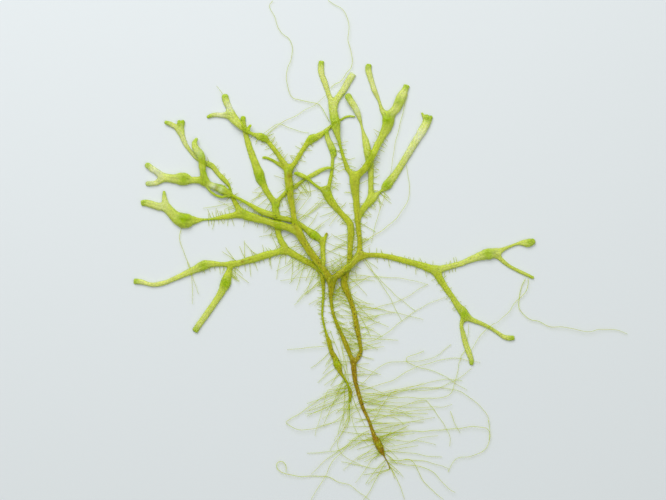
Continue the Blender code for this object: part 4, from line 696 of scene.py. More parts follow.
# Stretches of a ribbon with short rhizoids: the ribbon, start and end as shares of its length,
# how many, their direction and its spread in degrees, and the shortest and longest
BASE_FRINGES = [
    ("base_stem", 0.24, 0.72, 12, 6, 20, 16, 66),
    ("base_stem", 0.3, 0.75, 4, -24, 14, 12, 40),
    ("base_stem", 0.22, 0.75, 9, 192, 24, 6, 34),
    ("base_stem", 0.62, 0.84, 7, 16, 30, 14, 50),
    ("base_stem", 0.66, 0.84, 7, 205, 30, 10, 42),
    ("base_stem", 0.7, 0.86, 6, 0, 60, 3, 9),
    ("base_stem", 0.7, 0.86, 5, 190, 60, 3, 8),
    ("base_stem", 0.8, 1.0, 6, -30, 30, 10, 40),
    ("base_stem", 0.8, 1.0, 4, 215, 35, 8, 34),
    ("base_stem", 0.0, 0.25, 8, -14, 30, 8, 34),
    ("base_stem", 0.0, 0.25, 4, 190, 35, 4, 14),
    ("outer_old_stem", 0.66, 0.9, 9, 222, 25, 5, 26),
    ("outer_old_stem", 0.62, 0.9, 5, -30, 35, 4, 18),
    ("outer_old_stem", 0.86, 1.0, 10, 218, 30, 14, 54),
    ("outer_old_stem", 0.86, 1.0, 4, -84, 22, 14, 50),
]
STEM_FRINGES = [
    ("outer_old_stem", 0.26, 0.66, 26, 178, 22, 2, 6),
    ("outer_old_stem", 0.28, 0.66, 14, 0, 30, 2, 5),
    ("outer_old_stem", 0.0, 0.28, 20, 240, 35, 6, 30),
    ("outer_old_stem", 0.05, 0.3, 7, 60, 40, 3, 10),
    ("left_old_stem", 0.08, 0.9, 40, 0, 32, 4, 19),
    ("left_old_stem", 0.08, 0.9, 20, 172, 30, 2, 5),
    ("right_old_stem", 0.06, 0.42, 34, 176, 38, 4, 20),
    ("right_old_stem", 0.04, 0.42, 17, -16, 38, 5, 38),
    ("right_old_stem", 0.1, 0.42, 9, 26, 30, 6, 36),
    ("right_old_stem", 0.42, 0.72, 20, 8, 40, 4, 22),
    ("right_old_stem", 0.42, 0.72, 20, 190, 42, 6, 38),
    ("right_old_stem", 0.72, 1.0, 18, 200, 45, 4, 20),
    ("right_old_stem", 0.72, 1.0, 12, 20, 40, 3, 13),
    ("left_stem", 0.05, 0.45, 17, 28, 38, 6, 34),
    ("left_stem", 0.05, 0.45, 17, 218, 40, 6, 28),
    ("left_stem", 0.5, 0.95, 20, 22, 38, 5, 34),
    ("left_stem", 0.5, 0.95, 11, 180, 40, 3, 12),
    ("right_stem", 0.0, 1.0, 14, -62, 45, 6, 32),
    ("right_stem", 0.1, 0.9, 10, 130, 45, 6, 28),
    ("centre_stem", 0.05, 0.9, 14, 5, 38, 3, 18),
    ("centre_stem", 0.05, 0.9, 14, 180, 35, 3, 10),
    ("top_branch", 0.08, 0.5, 12, 8, 28, 3, 10),
    ("top_branch", 0.08, 0.5, 12, 176, 28, 3, 12),
    ("top_right_branch", 0.2, 0.75, 10, -25, 28, 3, 10),
    ("top_right_branch", 0.2, 0.75, 7, 150, 28, 2, 7),
    ("right_side_stem", 0.1, 1.0, 8, -60, 40, 3, 12),
    ("inner_right_branch", 0.04, 0.34, 10, 0, 30, 3, 8),
    ("outer_right_branch", 0.02, 0.14, 6, -60, 35, 5, 22),
    ("upper_left_branch", 0.08, 0.5, 17, 42, 16, 3, 8),
    ("upper_left_branch", 0.12, 0.62, 11, 215, 30, 2, 7),
    ("upper_middle_branch", 0.05, 0.4, 9, -30, 30, 2, 8),
    ("upper_middle_branch", 0.05, 0.4, 7, 150, 30, 2, 7),
    ("crossing_branch", 0.05, 0.6, 11, -40, 40, 4, 18),
    ("middle_tip_branch", 0.05, 0.4, 8, 0, 40, 3, 10),
    ("inner_left_stem", 0.1, 1.0, 13, 195, 40, 4, 18),
    ("inner_left_stem", 0.1, 1.0, 8, 0, 40, 3, 14),
    ("inner_left_branch", 0.0, 0.25, 7, 215, 30, 4, 18),
    ("left_branch", 0.3, 0.95, 9, 262, 30, 3, 16),
    ("left_branch", 0.5, 0.95, 6, 80, 30, 2, 6),
    ("far_left_branch", 0.12, 0.42, 9, 106, 16, 4, 13),
    ("far_left_branch", 0.12, 0.42, 8, 272, 22, 4, 13),
    ("high_left_branch", 0.02, 0.42, 10, 20, 40, 2, 6),
    ("high_left_branch", 0.02, 0.3, 7, 196, 30, 4, 18),
    ("high_left_branch", 0.45, 0.7, 5, 60, 40, 2, 5),
    ("long_ribbon", 0.3, 0.75, 8, 250, 35, 2, 7),
    ("long_ribbon", 0.66, 0.9, 6, 230, 40, 2, 8),
    ("lower_left_stem", 0.0, 1.0, 14, 258, 35, 3, 14),
    ("lower_left_stem", 0.1, 0.95, 11, 125, 38, 4, 19),
    ("lower_left_branch", 0.0, 0.3, 8, 265, 30, 3, 9),
    ("drooping_left_branch", 0.0, 0.14, 7, -55, 20, 8, 24),
    ("right_branch", 0.1, 1.0, 14, 88, 30, 2, 6),
    ("right_branch", 0.1, 1.0, 15, -92, 30, 2, 9),
    ("right_upper_tip", 0.12, 0.36, 5, 85, 18, 2, 9),
    ("right_upper_tip", 0.12, 0.36, 4, -85, 18, 3, 8),
    ("right_lower_branch", 0.1, 0.9, 6, 35, 30, 2, 5),
    ("right_lower_branch", 0.1, 0.9, 7, 215, 30, 2, 5),
]


def place(x, y, z):
    """A point of the drawing grid, with its height in grid steps, as metres in the row frame."""
    return ((x - ORIGIN_X) * STEP, (ORIGIN_Y - y) * STEP, z * STEP)


def smooth(low, high, value):
    """0 below low, 1 above high, and a smooth step between."""
    t = np.clip((value - low) / (high - low), 0.0, 1.0)
    return t * t * (3 - 2 * t)


def lumps(x, y, size, seed):
    """Smooth random relief from -1 to 1 over the plane, with lumps about size grid steps across."""
    knots = np.random.RandomState(seed).uniform(-1, 1, (64, 64))
    u = np.asarray(x) / size
    v = np.asarray(y) / size
    i = np.floor(u).astype(int)
    j = np.floor(v).astype(int)
    s = smooth(0, 1, u - i)
    t = smooth(0, 1, v - j)
    low = knots[j % 64, i % 64] * (1 - s) + knots[j % 64, (i + 1) % 64] * s
    high = knots[(j + 1) % 64, i % 64] * (1 - s) + knots[(j + 1) % 64, (i + 1) % 64] * s
    return low * (1 - t) + high * t


def smooth_line(points, spacing):
    """Points about spacing apart on the smooth curve through given points."""
    points = np.asarray(points, float)
    out = [points[:1]]
    for i in range(len(points) - 1):
        before, here = points[max(i - 1, 0)], points[i]
        there, after = points[i + 1], points[min(i + 2, len(points) - 1)]
        span = np.linalg.norm((there - here)[:2])
        back = np.linalg.norm((here - before)[:2])
        on = np.linalg.norm((after - there)[:2])
        a = (there - before) * span / max(span + back, span)
        b = (after - here) * span / max(span + on, span)
        count = max(2, math.ceil(span / spacing))
        u = (np.arange(1, count + 1) / count)[:, None]
        out.append(
            here * (2 * u**3 - 3 * u**2 + 1) + a * (u**3 - 2 * u**2 + u)
            + there * (3 * u**2 - 2 * u**3) + b * (u**3 - u**2)
        )
    return np.concatenate(out)


def directions(line):
    """The unit direction of a line at each of its points."""
    way = np.gradient(line, axis=0)
    return way / np.maximum(np.linalg.norm(way, axis=1), 1e-9)[:, None]


def new_piece(name, corners, faces, values):
    """A smooth mesh object, with the values of its corners held as attributes."""
    mesh = bpy.data.meshes.new(name)
    mesh.from_pydata(corners.tolist(), [], faces)
    mesh.shade_smooth()
    for key, value in values.items():
        held = mesh.attributes.new(key, "FLOAT", "POINT")
        held.data.foreach_set("value", value.astype(np.float32))
    piece = bpy.data.objects.new(name, mesh)
    bpy.context.scene.collection.objects.link(piece)
    return piece


class Ribbon:
    """One ribbon's course: closely spaced points, and how far along the ribbon each of them is."""

    def __init__(self, name):
        self.name = name
        self.layer, self.parent, self.tip, self.young, self.old = GROWTH[name]
        self.line = smooth_line([(*point, 0)[:4] for point in COURSES[name]], COURSE_SPACING)
        self.line[:, 3] = np.maximum(self.line[:, 3], 0)
        steps = np.linalg.norm(np.diff(self.line[:, :2], axis=0), axis=1)
        self.along = np.concatenate([[0], np.cumsum(steps)])
        self.length = self.along[-1]

    def at(self, s):
        """Place, width and lift at a distance from the start."""
        return np.array([np.interp(s, self.along, self.line[:, k]) for k in range(4)])

    def heading(self, s):
        """The unit direction at a distance from the start."""
        way = (self.at(min(s + 1, self.length)) - self.at(max(s - 1, 0)))[:2]
        return way / np.linalg.norm(way)

    def nearest(self, x, y):
        """The distance from the start that is nearest to a place."""
        return self.along[np.argmin(np.hypot(self.line[:, 0] - x, self.line[:, 1] - y))]


class Field:
    """What one ribbon adds to the grid: how far inside its margin each point of the grid is."""

    def __init__(self, ribbon, start, end, sheet):
        self.ribbon = ribbon
        tip = TIPS.get(ribbon.tip) if end >= ribbon.length else None
        if tip:
            end = ribbon.length - tip[0] * ribbon.at(ribbon.length)[2] / 2
        stops = [start] + [s for s in ribbon.along if start < s < end] + [end]
        line = np.array([ribbon.at(s) for s in stops])
        widest = line[:, 2].max()
        self.box = sheet.box(line[:, 0], line[:, 1], widest / 2 + FIELD_REACH + BOX_SPARE)
        self.x, self.y = sheet.points(self.box)
        self.inside = np.full(self.x.shape, OUTSIDE)
        self.along = np.zeros(self.x.shape)
        self.width = np.ones(self.x.shape)
        self.lift = np.zeros(self.x.shape)
        for k in range(len(stops) - 1):
            self.add_stretch(line[k], line[k + 1], stops[k], stops[k + 1], sheet)
        if tip:
            self.end_tip(line[-1], ribbon.heading(end), end, tip)

    def add_stretch(self, a, b, start, end, sheet):
        """Adds the straight stretch from a to b, where it is nearer than what is there."""
        box = sheet.box([a[0], b[0]], [a[1], b[1]], max(a[2], b[2]) / 2 + FIELD_REACH)
        part = (
            slice(max(box[0] - self.box[0], 0), max(box[1] - self.box[0], 0)),
            slice(max(box[2] - self.box[2], 0), max(box[3] - self.box[2], 0)),
        )
        x, y = self.x[part], self.y[part]
        way = (b - a)[:2]
        share = ((x - a[0]) * way[0] + (y - a[1]) * way[1]) / (way @ way)
        share = np.clip(share, 0, 1)
        off = np.hypot(x - a[0] - share * way[0], y - a[1] - share * way[1])
        width = a[2] + share * (b[2] - a[2])
        inside = width / 2 - off
        better = inside > self.inside[part]
        for field, value in (
            (self.inside, inside), (self.width, width),
            (self.lift, a[3] + share * (b[3] - a[3])), (self.along, start + share * (end - start)),
        ):
            field[part][better] = value[better]

    def end_tip(self, last, heading, end, tip):
        """Rounds, squares or notches the end."""
        reach, square, notch, _ = tip
        half = last[2] / 2
        on = (self.x - last[0]) * heading[0] + (self.y - last[1]) * heading[1]
        across = (self.y - last[1]) * heading[0] - (self.x - last[0]) * heading[1]
        near = np.hypot(on, across) < 3.5 * half + 1
        beyond = near & (on > 0)
        far = (np.abs(on) / (reach * half)) ** square + (np.abs(across) / half) ** square
        cap = half * (1 - far ** (1 / square))
        self.inside[beyond] = cap[beyond]
        self.width[beyond] = last[2]
        self.lift[beyond] = last[3]
        self.along[beyond] = (end + on)[beyond]
        if notch:
            dent = notch * half * np.exp(-((across / (NOTCH_WIDTH * half)) ** 2))
            self.inside[near] -= (dent * smooth(NOTCH_START * half, reach * half, on))[near]


class Sheet:
    """The grid of points over the whole plant, on which the skin is worked out layer by layer."""

    def __init__(self, cell):
        lines = np.concatenate([
            smooth_line([point[:2] for point in points], 2) for points in COURSES.values()
        ])
        self.cell = cell
        self.x0 = math.floor(lines[:, 0].min() - SHEET_EDGE)
        self.y0 = math.floor(lines[:, 1].min() - SHEET_EDGE)
        self.columns = int((lines[:, 0].max() + SHEET_EDGE - self.x0) / cell)
        self.rows = int((lines[:, 1].max() + SHEET_EDGE - self.y0) / cell)

    def box(self, x, y, reach):
        """First and last column and row round some points."""
        return (
            max(int((np.min(x) - reach - self.x0) / self.cell), 0),
            min(int((np.max(x) + reach - self.x0) / self.cell) + 1, self.columns),
            max(int((np.min(y) - reach - self.y0) / self.cell), 0),
            min(int((np.max(y) + reach - self.y0) / self.cell) + 1, self.rows),
        )

    def points(self, box):
        """The x and the y of the grid's points in a box."""
        x = self.x0 + self.cell * np.arange(box[0], box[1])
        y = self.y0 + self.cell * np.arange(box[2], box[3])
        return np.meshgrid(x, y, indexing="ij")


def fields_of_layer(layer, ribbons, sheet):
    """The layer's own ribbons whole, and the near part of those that they fork from or carry."""
    own = [r for r in ribbons.values() if r.layer == layer]
    spans = {r.name: [(0.0, r.length)] for r in own}

    def borrow(name, x, y, reach):
        ribbon = ribbons[name]
        if ribbon.layer != layer:
            s = ribbon.nearest(x, y)
            span = (max(s - reach, 0.0), min(s + reach, ribbon.length))
            if span not in spans.setdefault(name, []):
                spans[name].append(span)

    for ribbon in own:
        for child in [ribbon] + [r for r in ribbons.values() if r.parent == ribbon.name]:
            x, y = child.line[0, :2]
            reach = SLANTED_FORKS.get(child.name, NEAR_FORK)
            if child.parent:
                borrow(child.parent, x, y, reach)
            borrow(child.name, x, y, reach)
            for other in ribbons.values():
                if other.parent == child.parent and np.hypot(*(other.line[0, :2] - (x, y))) < NEAR_FORK:
                    borrow(other.name, *other.line[0, :2], SLANTED_FORKS.get(other.name, NEAR_FORK))
    return [
        Field(ribbons[name], start, end, sheet)
        for name in ribbons if name in spans for start, end in spans[name]
    ]


def join_fields(fields, sheet, blend):
    """One layer's fields, joined with smooth webs in the forks."""
    shape = (sheet.columns, sheet.rows)
    most = np.full(shape, OUTSIDE)
    owner = np.full(shape, -1)
    for k, field in enumerate(fields):
        part = np.s_[field.box[0]:field.box[1], field.box[2]:field.box[3]]
        better = field.inside > most[part]
        most[part][better] = field.inside[better]
        owner[part][better] = k
    total = np.zeros(shape)
    sums = {key: np.zeros(shape) for key in ("half", "lift", "age", "tip", "brown")}
    for field in fields:
        part = np.s_[field.box[0]:field.box[1], field.box[2]:field.box[3]]
        ribbon = field.ribbon
        weight = np.exp((field.inside - most[part]) / blend)
        share = np.clip(field.along / ribbon.length, 0, 1)
        browns = BROWNED.get(ribbon.name, (0.0, 0.0))
        dense = TIPS.get(ribbon.tip, (0, 0, 0, 0.0))[3]
        values = {
            "half": field.width / 2,
            "lift": field.lift,
            "age": ribbon.young + (ribbon.old - ribbon.young) * share,
            "tip": dense * (1 - smooth(*TIP_FADE, ribbon.length - field.along)),
            "brown": browns[0] + (browns[1] - browns[0]) * share,
        }
        total[part] += weight
        for key, value in values.items():
            sums[key][part] += weight * value
    used = total > 0
    for value in sums.values():
        value[used] /= total[used]
    inside = np.where(used, most + blend * np.log(np.maximum(total, 1e-9)), OUTSIDE)
    return inside, owner, sums


class Skin:
    """The whole thallus as one seamless skin: corners, their values, and faces by group."""

    def __init__(self, cell, blend, waviness, groove):
        self.sheet = sheet = Sheet(cell)
        self.groove = groove
        self.corners, self.values, self.faces, self.groups = [], [], [], []
        self.count = 0
        self.ribbons = {name: Ribbon(name) for name in GROWTH}
        self.x, self.y = sheet.points((0, sheet.columns, 0, sheet.rows))
        group_of = {name: g for g, (names, _, _) in enumerate(GROUPS.values()) for name in names}
        waves = waviness * lumps(self.x, self.y, *MARGIN_WAVES)
        layers = []
        for layer in sorted({r.layer for r in self.ribbons.values()}):
            fields = fields_of_layer(layer, self.ribbons, sheet)
            inside, owner, sums = join_fields(fields, sheet, blend)
            inside += waves * smooth(*WAVY_HALF, sums["half"])
            group = np.array([
                group_of[f.ribbon.name] if f.ribbon.layer == layer else -1 for f in fields
            ] + [-1])[owner]
            cover = np.where(group >= 0, smooth(*COVER_INSIDE, inside), 0.0)
            layers.append((inside, group, sums, cover))
        # How much other layers cover each point: where ribbons cross, this is the mask of the painted
        # shade
        cover = sum(layer[3] for layer in layers)
        swollen = np.zeros(self.x.shape)
        self.mark(swollen, NODULES, spread=1.7, fall=1.6)
        for inside, group, sums, own in layers:
            inside += BULGE_HEIGHT * lumps(self.x, self.y, *BULGES) * swollen
            self.add_layer(inside, group, sums, swollen, cover - own)
        self.weld()

    def mark(self, held, places, spread=2.0, fall=1.0):
        """Raises a field to the strength of some round places, which fade out from their middle.

        They are cut off where they have faded out, at their reach times the spread. The fall is how
        fast they fade.
        """
        for x, y, reach, strength in places:
            box = self.sheet.box([x], [y], reach * spread)
            spot = np.s_[box[0]:box[1], box[2]:box[3]]
            far = np.hypot(self.x[spot] - x, self.y[spot] - y) / reach
            held[spot] = np.maximum(held[spot], strength * np.exp(-(far**2) * fall))

    def add_layer(self, inside, group, sums, swollen, crossed):
        """One layer's heights and colours. Where other ribbons cross it, less light comes through, and
        this shade is painted into its colour.
        """
        tall = THIN_THICKNESS + THICKNESS_SHARE * 2 * sums["half"]
        depth = np.clip(inside / np.maximum(sums["half"], 0.5), 0, 1)
        crown = (1 - (1 - depth) ** CROWN[0]) ** CROWN[1]
        belly = 1 - (1 - depth) ** BELLY
        relief = (LUMP_HEIGHT + SWOLLEN_HEIGHT * swollen) * lumps(self.x, self.y, *LUMPS)
        relief += FINE_HEIGHT * lumps(self.x, self.y, *FINE_LUMPS)
        young = 1 - smooth(*CHANNEL_AGE, sums["age"])
        channel = self.groove * young * smooth(*CHANNEL_DEPTH, depth)
        channel *= smooth(*CHANNEL_HALF, sums["half"])
        top = sums["lift"] + tall * (MARGIN_HEIGHT + (1 - MARGIN_HEIGHT) * crown)
        top += (relief - channel) * crown
        bottom = sums["lift"] + tall * MARGIN_HEIGHT * (1 - belly)
        edge = sums["lift"] + tall * MARGIN_HEIGHT
        brown = sums["brown"].copy()
        self.mark(brown, BROWN_SPOTS)
        brown *= 1 - SWOLLEN_GREEN * swollen
        # Pale places: tissue that has lost its green, and painted highlights
        pale = np.zeros(self.x.shape)
        self.mark(pale, BLEACHED_AND_HIGHLIGHTS)
        # Tips, swollen places and the narrow necks of grown ribbons are denser. Where other ribbons
        # cross, painted shade darkens the colour with the dense green and a shift towards the old
        # colour
        crossed = np.clip(crossed, 0, 1)
        necks = (1 - smooth(*NECK_HALF, sums["half"])) * smooth(*NECK_AGE, sums["age"])
        dark = np.maximum(swollen, sums["tip"])
        dark = np.maximum(np.maximum(dark, CROSSING_SHADE * crossed), NECK_DENSE * necks)
        age = sums["age"] + CROSSING_SHADE_TO_OLD * crossed
        self.mesh_layer(inside, group, (top, bottom, edge), (age, dark, brown, pale, depth))

    def mesh_layer(self, inside, group, heights, values):
        """Cells wholly inside become a quad above and one below. Others are cut at the margin."""
        x, y = self.x, self.y
        top, bottom, edge = heights
        filled = inside > 0
        a, b, c, d = (filled[:-1, :-1], filled[1:, :-1], filled[1:, 1:], filled[:-1, 1:])
        own = group[:-1, :-1]
        whole = a & b & c & d & (own >= 0)
        some = (a | b | c | d) & ~(a & b & c & d) & (own >= 0)
        used = np.zeros(x.shape, bool)
        for cells in (whole, some):
            used[:-1, :-1] |= cells
            used[1:, :-1] |= cells
            used[1:, 1:] |= cells
            used[:-1, 1:] |= cells
        used &= filled
        under = int(used.sum())
        number = np.full(x.shape, -1)
        number[used] = np.arange(under) + self.count
        self.corners.append(np.stack([x[used], y[used], top[used]], 1))
        self.corners.append(np.stack([x[used], y[used], bottom[used]], 1))
        stacked = np.stack([v[used] for v in values], 1)
        self.values += [stacked, stacked]
        i, j = np.nonzero(whole)
        quad = np.stack([number[i, j], number[i + 1, j], number[i + 1, j + 1], number[i, j + 1]], 1)
        self.faces += quad[:, ::-1].tolist() + (quad + under).tolist()
        self.groups += own[i, j].tolist() * 2
        first = self.count + 2 * under
        spots = {}
        corners = []
        rows = []

        def crossing(p, q):
            """The corner where the margin crosses the cell's side from p to q, clear of its ends."""
            p, q = (p, q) if p < q else (q, p)
            if (p, q) not in spots:
                t = inside[p] / (inside[p] - inside[q])
                t = min(max(t, CLEAR_OF_ENDS), 1 - CLEAR_OF_ENDS)
                held = p if filled[p] else q
                spots[p, q] = first + len(corners)
                corners.append((x[p] + t * (x[q] - x[p]), y[p] + t * (y[q] - y[p]), edge[held]))
                rows.append([v[held] for v in values[:-1]] + [0.0])
            return spots[p, q]

        for i, j in np.argwhere(some).tolist():
            ring = [(i, j), (i + 1, j), (i + 1, j + 1), (i, j + 1)]
            above = []
            for k in range(4):
                here, there = ring[k], ring[(k + 1) % 4]
                if filled[here]:
                    above.append((int(number[here]), True))
                if filled[here] != filled[there]:
                    above.append((crossing(here, there), False))
            self.faces.append([v for v, _ in above][::-1])
            self.faces.append([v + under if doubled else v for v, doubled in above])
            self.groups += [int(own[i, j])] * 2
        self.corners.append(np.array(corners).reshape(-1, 3))
        self.values.append(np.array(rows).reshape(-1, len(values)))
        self.count = first + len(corners)

    def weld(self):
        """Joins the layers where they meet in the forks, and works out smooth normals."""
        corners = np.concatenate(self.corners)
        keys = np.round(corners / WELD_DISTANCE).astype(np.int64)
        _, first, back = np.unique(keys, axis=0, return_index=True, return_inverse=True)
        back = back.reshape(-1)
        corners = corners[first]
        self.values = np.concatenate(self.values)[first]
        self.corners = np.stack(place(corners[:, 0], corners[:, 1], corners[:, 2]), 1)
        faces = []
        groups = []
        for face, group in zip(self.faces, self.groups):
            kept = list(dict.fromkeys(int(back[v]) for v in face))
            if len(kept) > 2:
                faces.append(kept)
                groups.append(group)
        self.faces = faces
        self.groups = np.array(groups)
        normals = np.zeros(self.corners.shape)
        for size in range(3, 8):
            some = np.array([f for f in faces if len(f) == size])
            if len(some):
                p = self.corners[some]
                across = np.cross(p[:, 1] - p[:, 0], p[:, 2] - p[:, 0])
                for k in range(2, size - 1):
                    across += np.cross(p[:, k] - p[:, 0], p[:, k + 1] - p[:, 0])
                for k in range(size):
                    np.add.at(normals, some[:, k], across)
        self.normals = normals / np.maximum(np.linalg.norm(normals, axis=1), 1e-20)[:, None]

    def piece(self, name):
        """The mesh object of one group."""
        number = list(GROUPS).index(name)
        faces = [f for f, g in zip(self.faces, self.groups) if g == number]
        used = np.unique(np.concatenate([np.array(f) for f in faces]))
        new = np.full(len(self.corners), -1)
        new[used] = np.arange(len(used))
        values = {key: self.values[used, k] for k, key in enumerate(SKIN_VALUES)}
        piece = new_piece(name, self.corners[used], [new[f].tolist() for f in faces], values)
        piece.data.normals_split_custom_set_from_vertices(self.normals[used].tolist())
        return piece


class Threads:
    """Fine round threads, gathered into one mesh. Their lines and widths are in grid steps."""

    def __init__(self, sides):
        self.sides = sides
        self.count = 0
        self.corners = []
        self.faces = []
        self.tones = []

    def add(self, line, widths, tone):
        """Adds one thread, as a closed tube, with its tone from 0, empty, to 1, green."""
        line = np.asarray(line, float)
        way = directions(line)
        side = np.stack([-way[:, 1], way[:, 0], np.zeros(len(line))], 1)
        side /= np.maximum(np.linalg.norm(side, axis=1), 1e-9)[:, None]
        above = np.cross(way, side)
        turns = (2 * np.pi * (np.arange(self.sides) + 0.5) / self.sides)[None, :, None]
        ring = side[:, None] * np.cos(turns) + above[:, None] * np.sin(turns)
        corners = line[:, None] + ring * (np.asarray(widths) / 2)[:, None, None]
        self.corners.append(corners.reshape(-1, 3))
        self.tones.append(np.full(len(line) * self.sides, tone))
        n = self.sides
        k = np.arange(n)
        for r in range(len(line) - 1):
            a = self.count + r * n + k
            b = self.count + r * n + (k + 1) % n
            self.faces += np.stack([a, a + n, b + n, b], 1).tolist()
        self.faces.append((self.count + k).tolist())
        self.faces.append((self.count + (len(line) - 1) * n + k)[::-1].tolist())
        self.count += len(line) * n

    def piece(self, name):
        """The mesh object of all the threads."""
        corners = np.concatenate(self.corners)
        corners = np.stack(place(corners[:, 0], corners[:, 1], corners[:, 2]), 1)
        return new_piece(name, corners, self.faces, {"tone": np.concatenate(self.tones)})


def lay_thread(threads, points, width, seed):
    """One long rhizoid along given points, lying loosely between two heights."""
    chance = np.random.RandomState(seed)
    flat = smooth_line(points, LONG_SPACING)
    steps = np.concatenate([[0], np.cumsum(np.linalg.norm(np.diff(flat, axis=0), axis=1))])
    phase = chance.uniform(0, 6.28, 4)
    # It wanders from side to side by up to 0.05 mm, and rises and falls more slowly
    wander = 0.35 * np.sin(steps / 7.0 + phase[0]) + 0.2 * np.sin(steps / 3.1 + phase[1])
    way = directions(flat)
    flat += np.stack([-way[:, 1], way[:, 0]], 1) * wander[:, None]
    rise = 0.5 + 0.3 * np.sin(steps / 23.0 + phase[2]) + 0.2 * np.sin(steps / 9.0 + phase[3])
    low, high = LONG_HEIGHTS
    height = low + (high - low) * rise
    widths = width * (1 - THREAD_TAPER * (steps / steps[-1]) ** 1.5)
    threads.add(np.column_stack([flat, height]), widths, chance.uniform(0.2, 1.0))


def fringe(threads, ribbon, start, end, count, aim, spread, shortest, longest, width, seed):
    """Short rhizoids along a stretch of a ribbon, from its middle out past its margin.

    The aim is their direction in degrees, 0 to the right and 90 up, give or take the spread. Each
    one curls and wobbles a little, and comes down to rest some way past the margin.
    """
    chance = np.random.RandomState(seed)
    for number in range(count):
        share = start + (end - start) * (number + chance.uniform()) / count
        x, y, wide, lift = ribbon.at(ribbon.length * share)
        turn = math.radians(aim + chance.uniform(-spread, spread))
        reach = wide / 2 + shortest + (longest - shortest) * chance.uniform() ** 1.6
        curl = chance.uniform(-SHORT_CURL, SHORT_CURL) / max(reach, 8)
        stops = np.linspace(0, reach, max(4, int(reach / SHORT_SPACING)))
        turns = turn + curl * stops + 0.035 * np.sin(stops / 2.3 + chance.uniform(0, 6))
        xs = x + np.concatenate([[0], np.cumsum(np.cos(turns[:-1]) * np.diff(stops))])
        ys = y - np.concatenate([[0], np.cumsum(np.sin(turns[:-1]) * np.diff(stops))])
        root_height = lift + ROOT_HEIGHT * (THIN_THICKNESS + THICKNESS_SHARE * wide)
        rest = chance.uniform(*SHORT_HEIGHTS)
        fall = smooth(wide / 2, wide / 2 + SHORT_FALL, stops)
        zs = np.maximum(root_height + (rest - root_height) * fall, 0.2)
        widths = width * (1 - THREAD_TAPER * (stops / reach) ** 1.5)
        threads.add(np.column_stack([xs, ys, zs]), widths, chance.uniform(0.1, 1.0))


def linear(code):
    """Linear red, green, blue and alpha of an sRGB hex colour."""
    parts = [int(code[i:i + 2], 16) / 255 for i in (1, 3, 5)]
    return (*[c / 12.92 if c <= 0.04045 else ((c + 0.055) / 1.055) ** 2.4 for c in parts], 1.0)


def add(tree, kind, inputs=None, **settings):
    """Adds a node with its settings, and sets or links its inputs."""
    node = tree.nodes.new(kind)
    for name, value in settings.items():
        setattr(node, name, value)
    for socket, value in (inputs or {}).items():
        if isinstance(value, bpy.types.NodeSocket):
            tree.links.new(value, node.inputs[socket])
        else:
            node.inputs[socket].default_value = value
    return node


def new_material(name):
    """An empty material with its output node: (material, node tree, output)."""
    material = bpy.data.materials.new(name)
    material.use_nodes = True
    material.node_tree.nodes.clear()
    return material, material.node_tree, material.node_tree.nodes.new("ShaderNodeOutputMaterial")


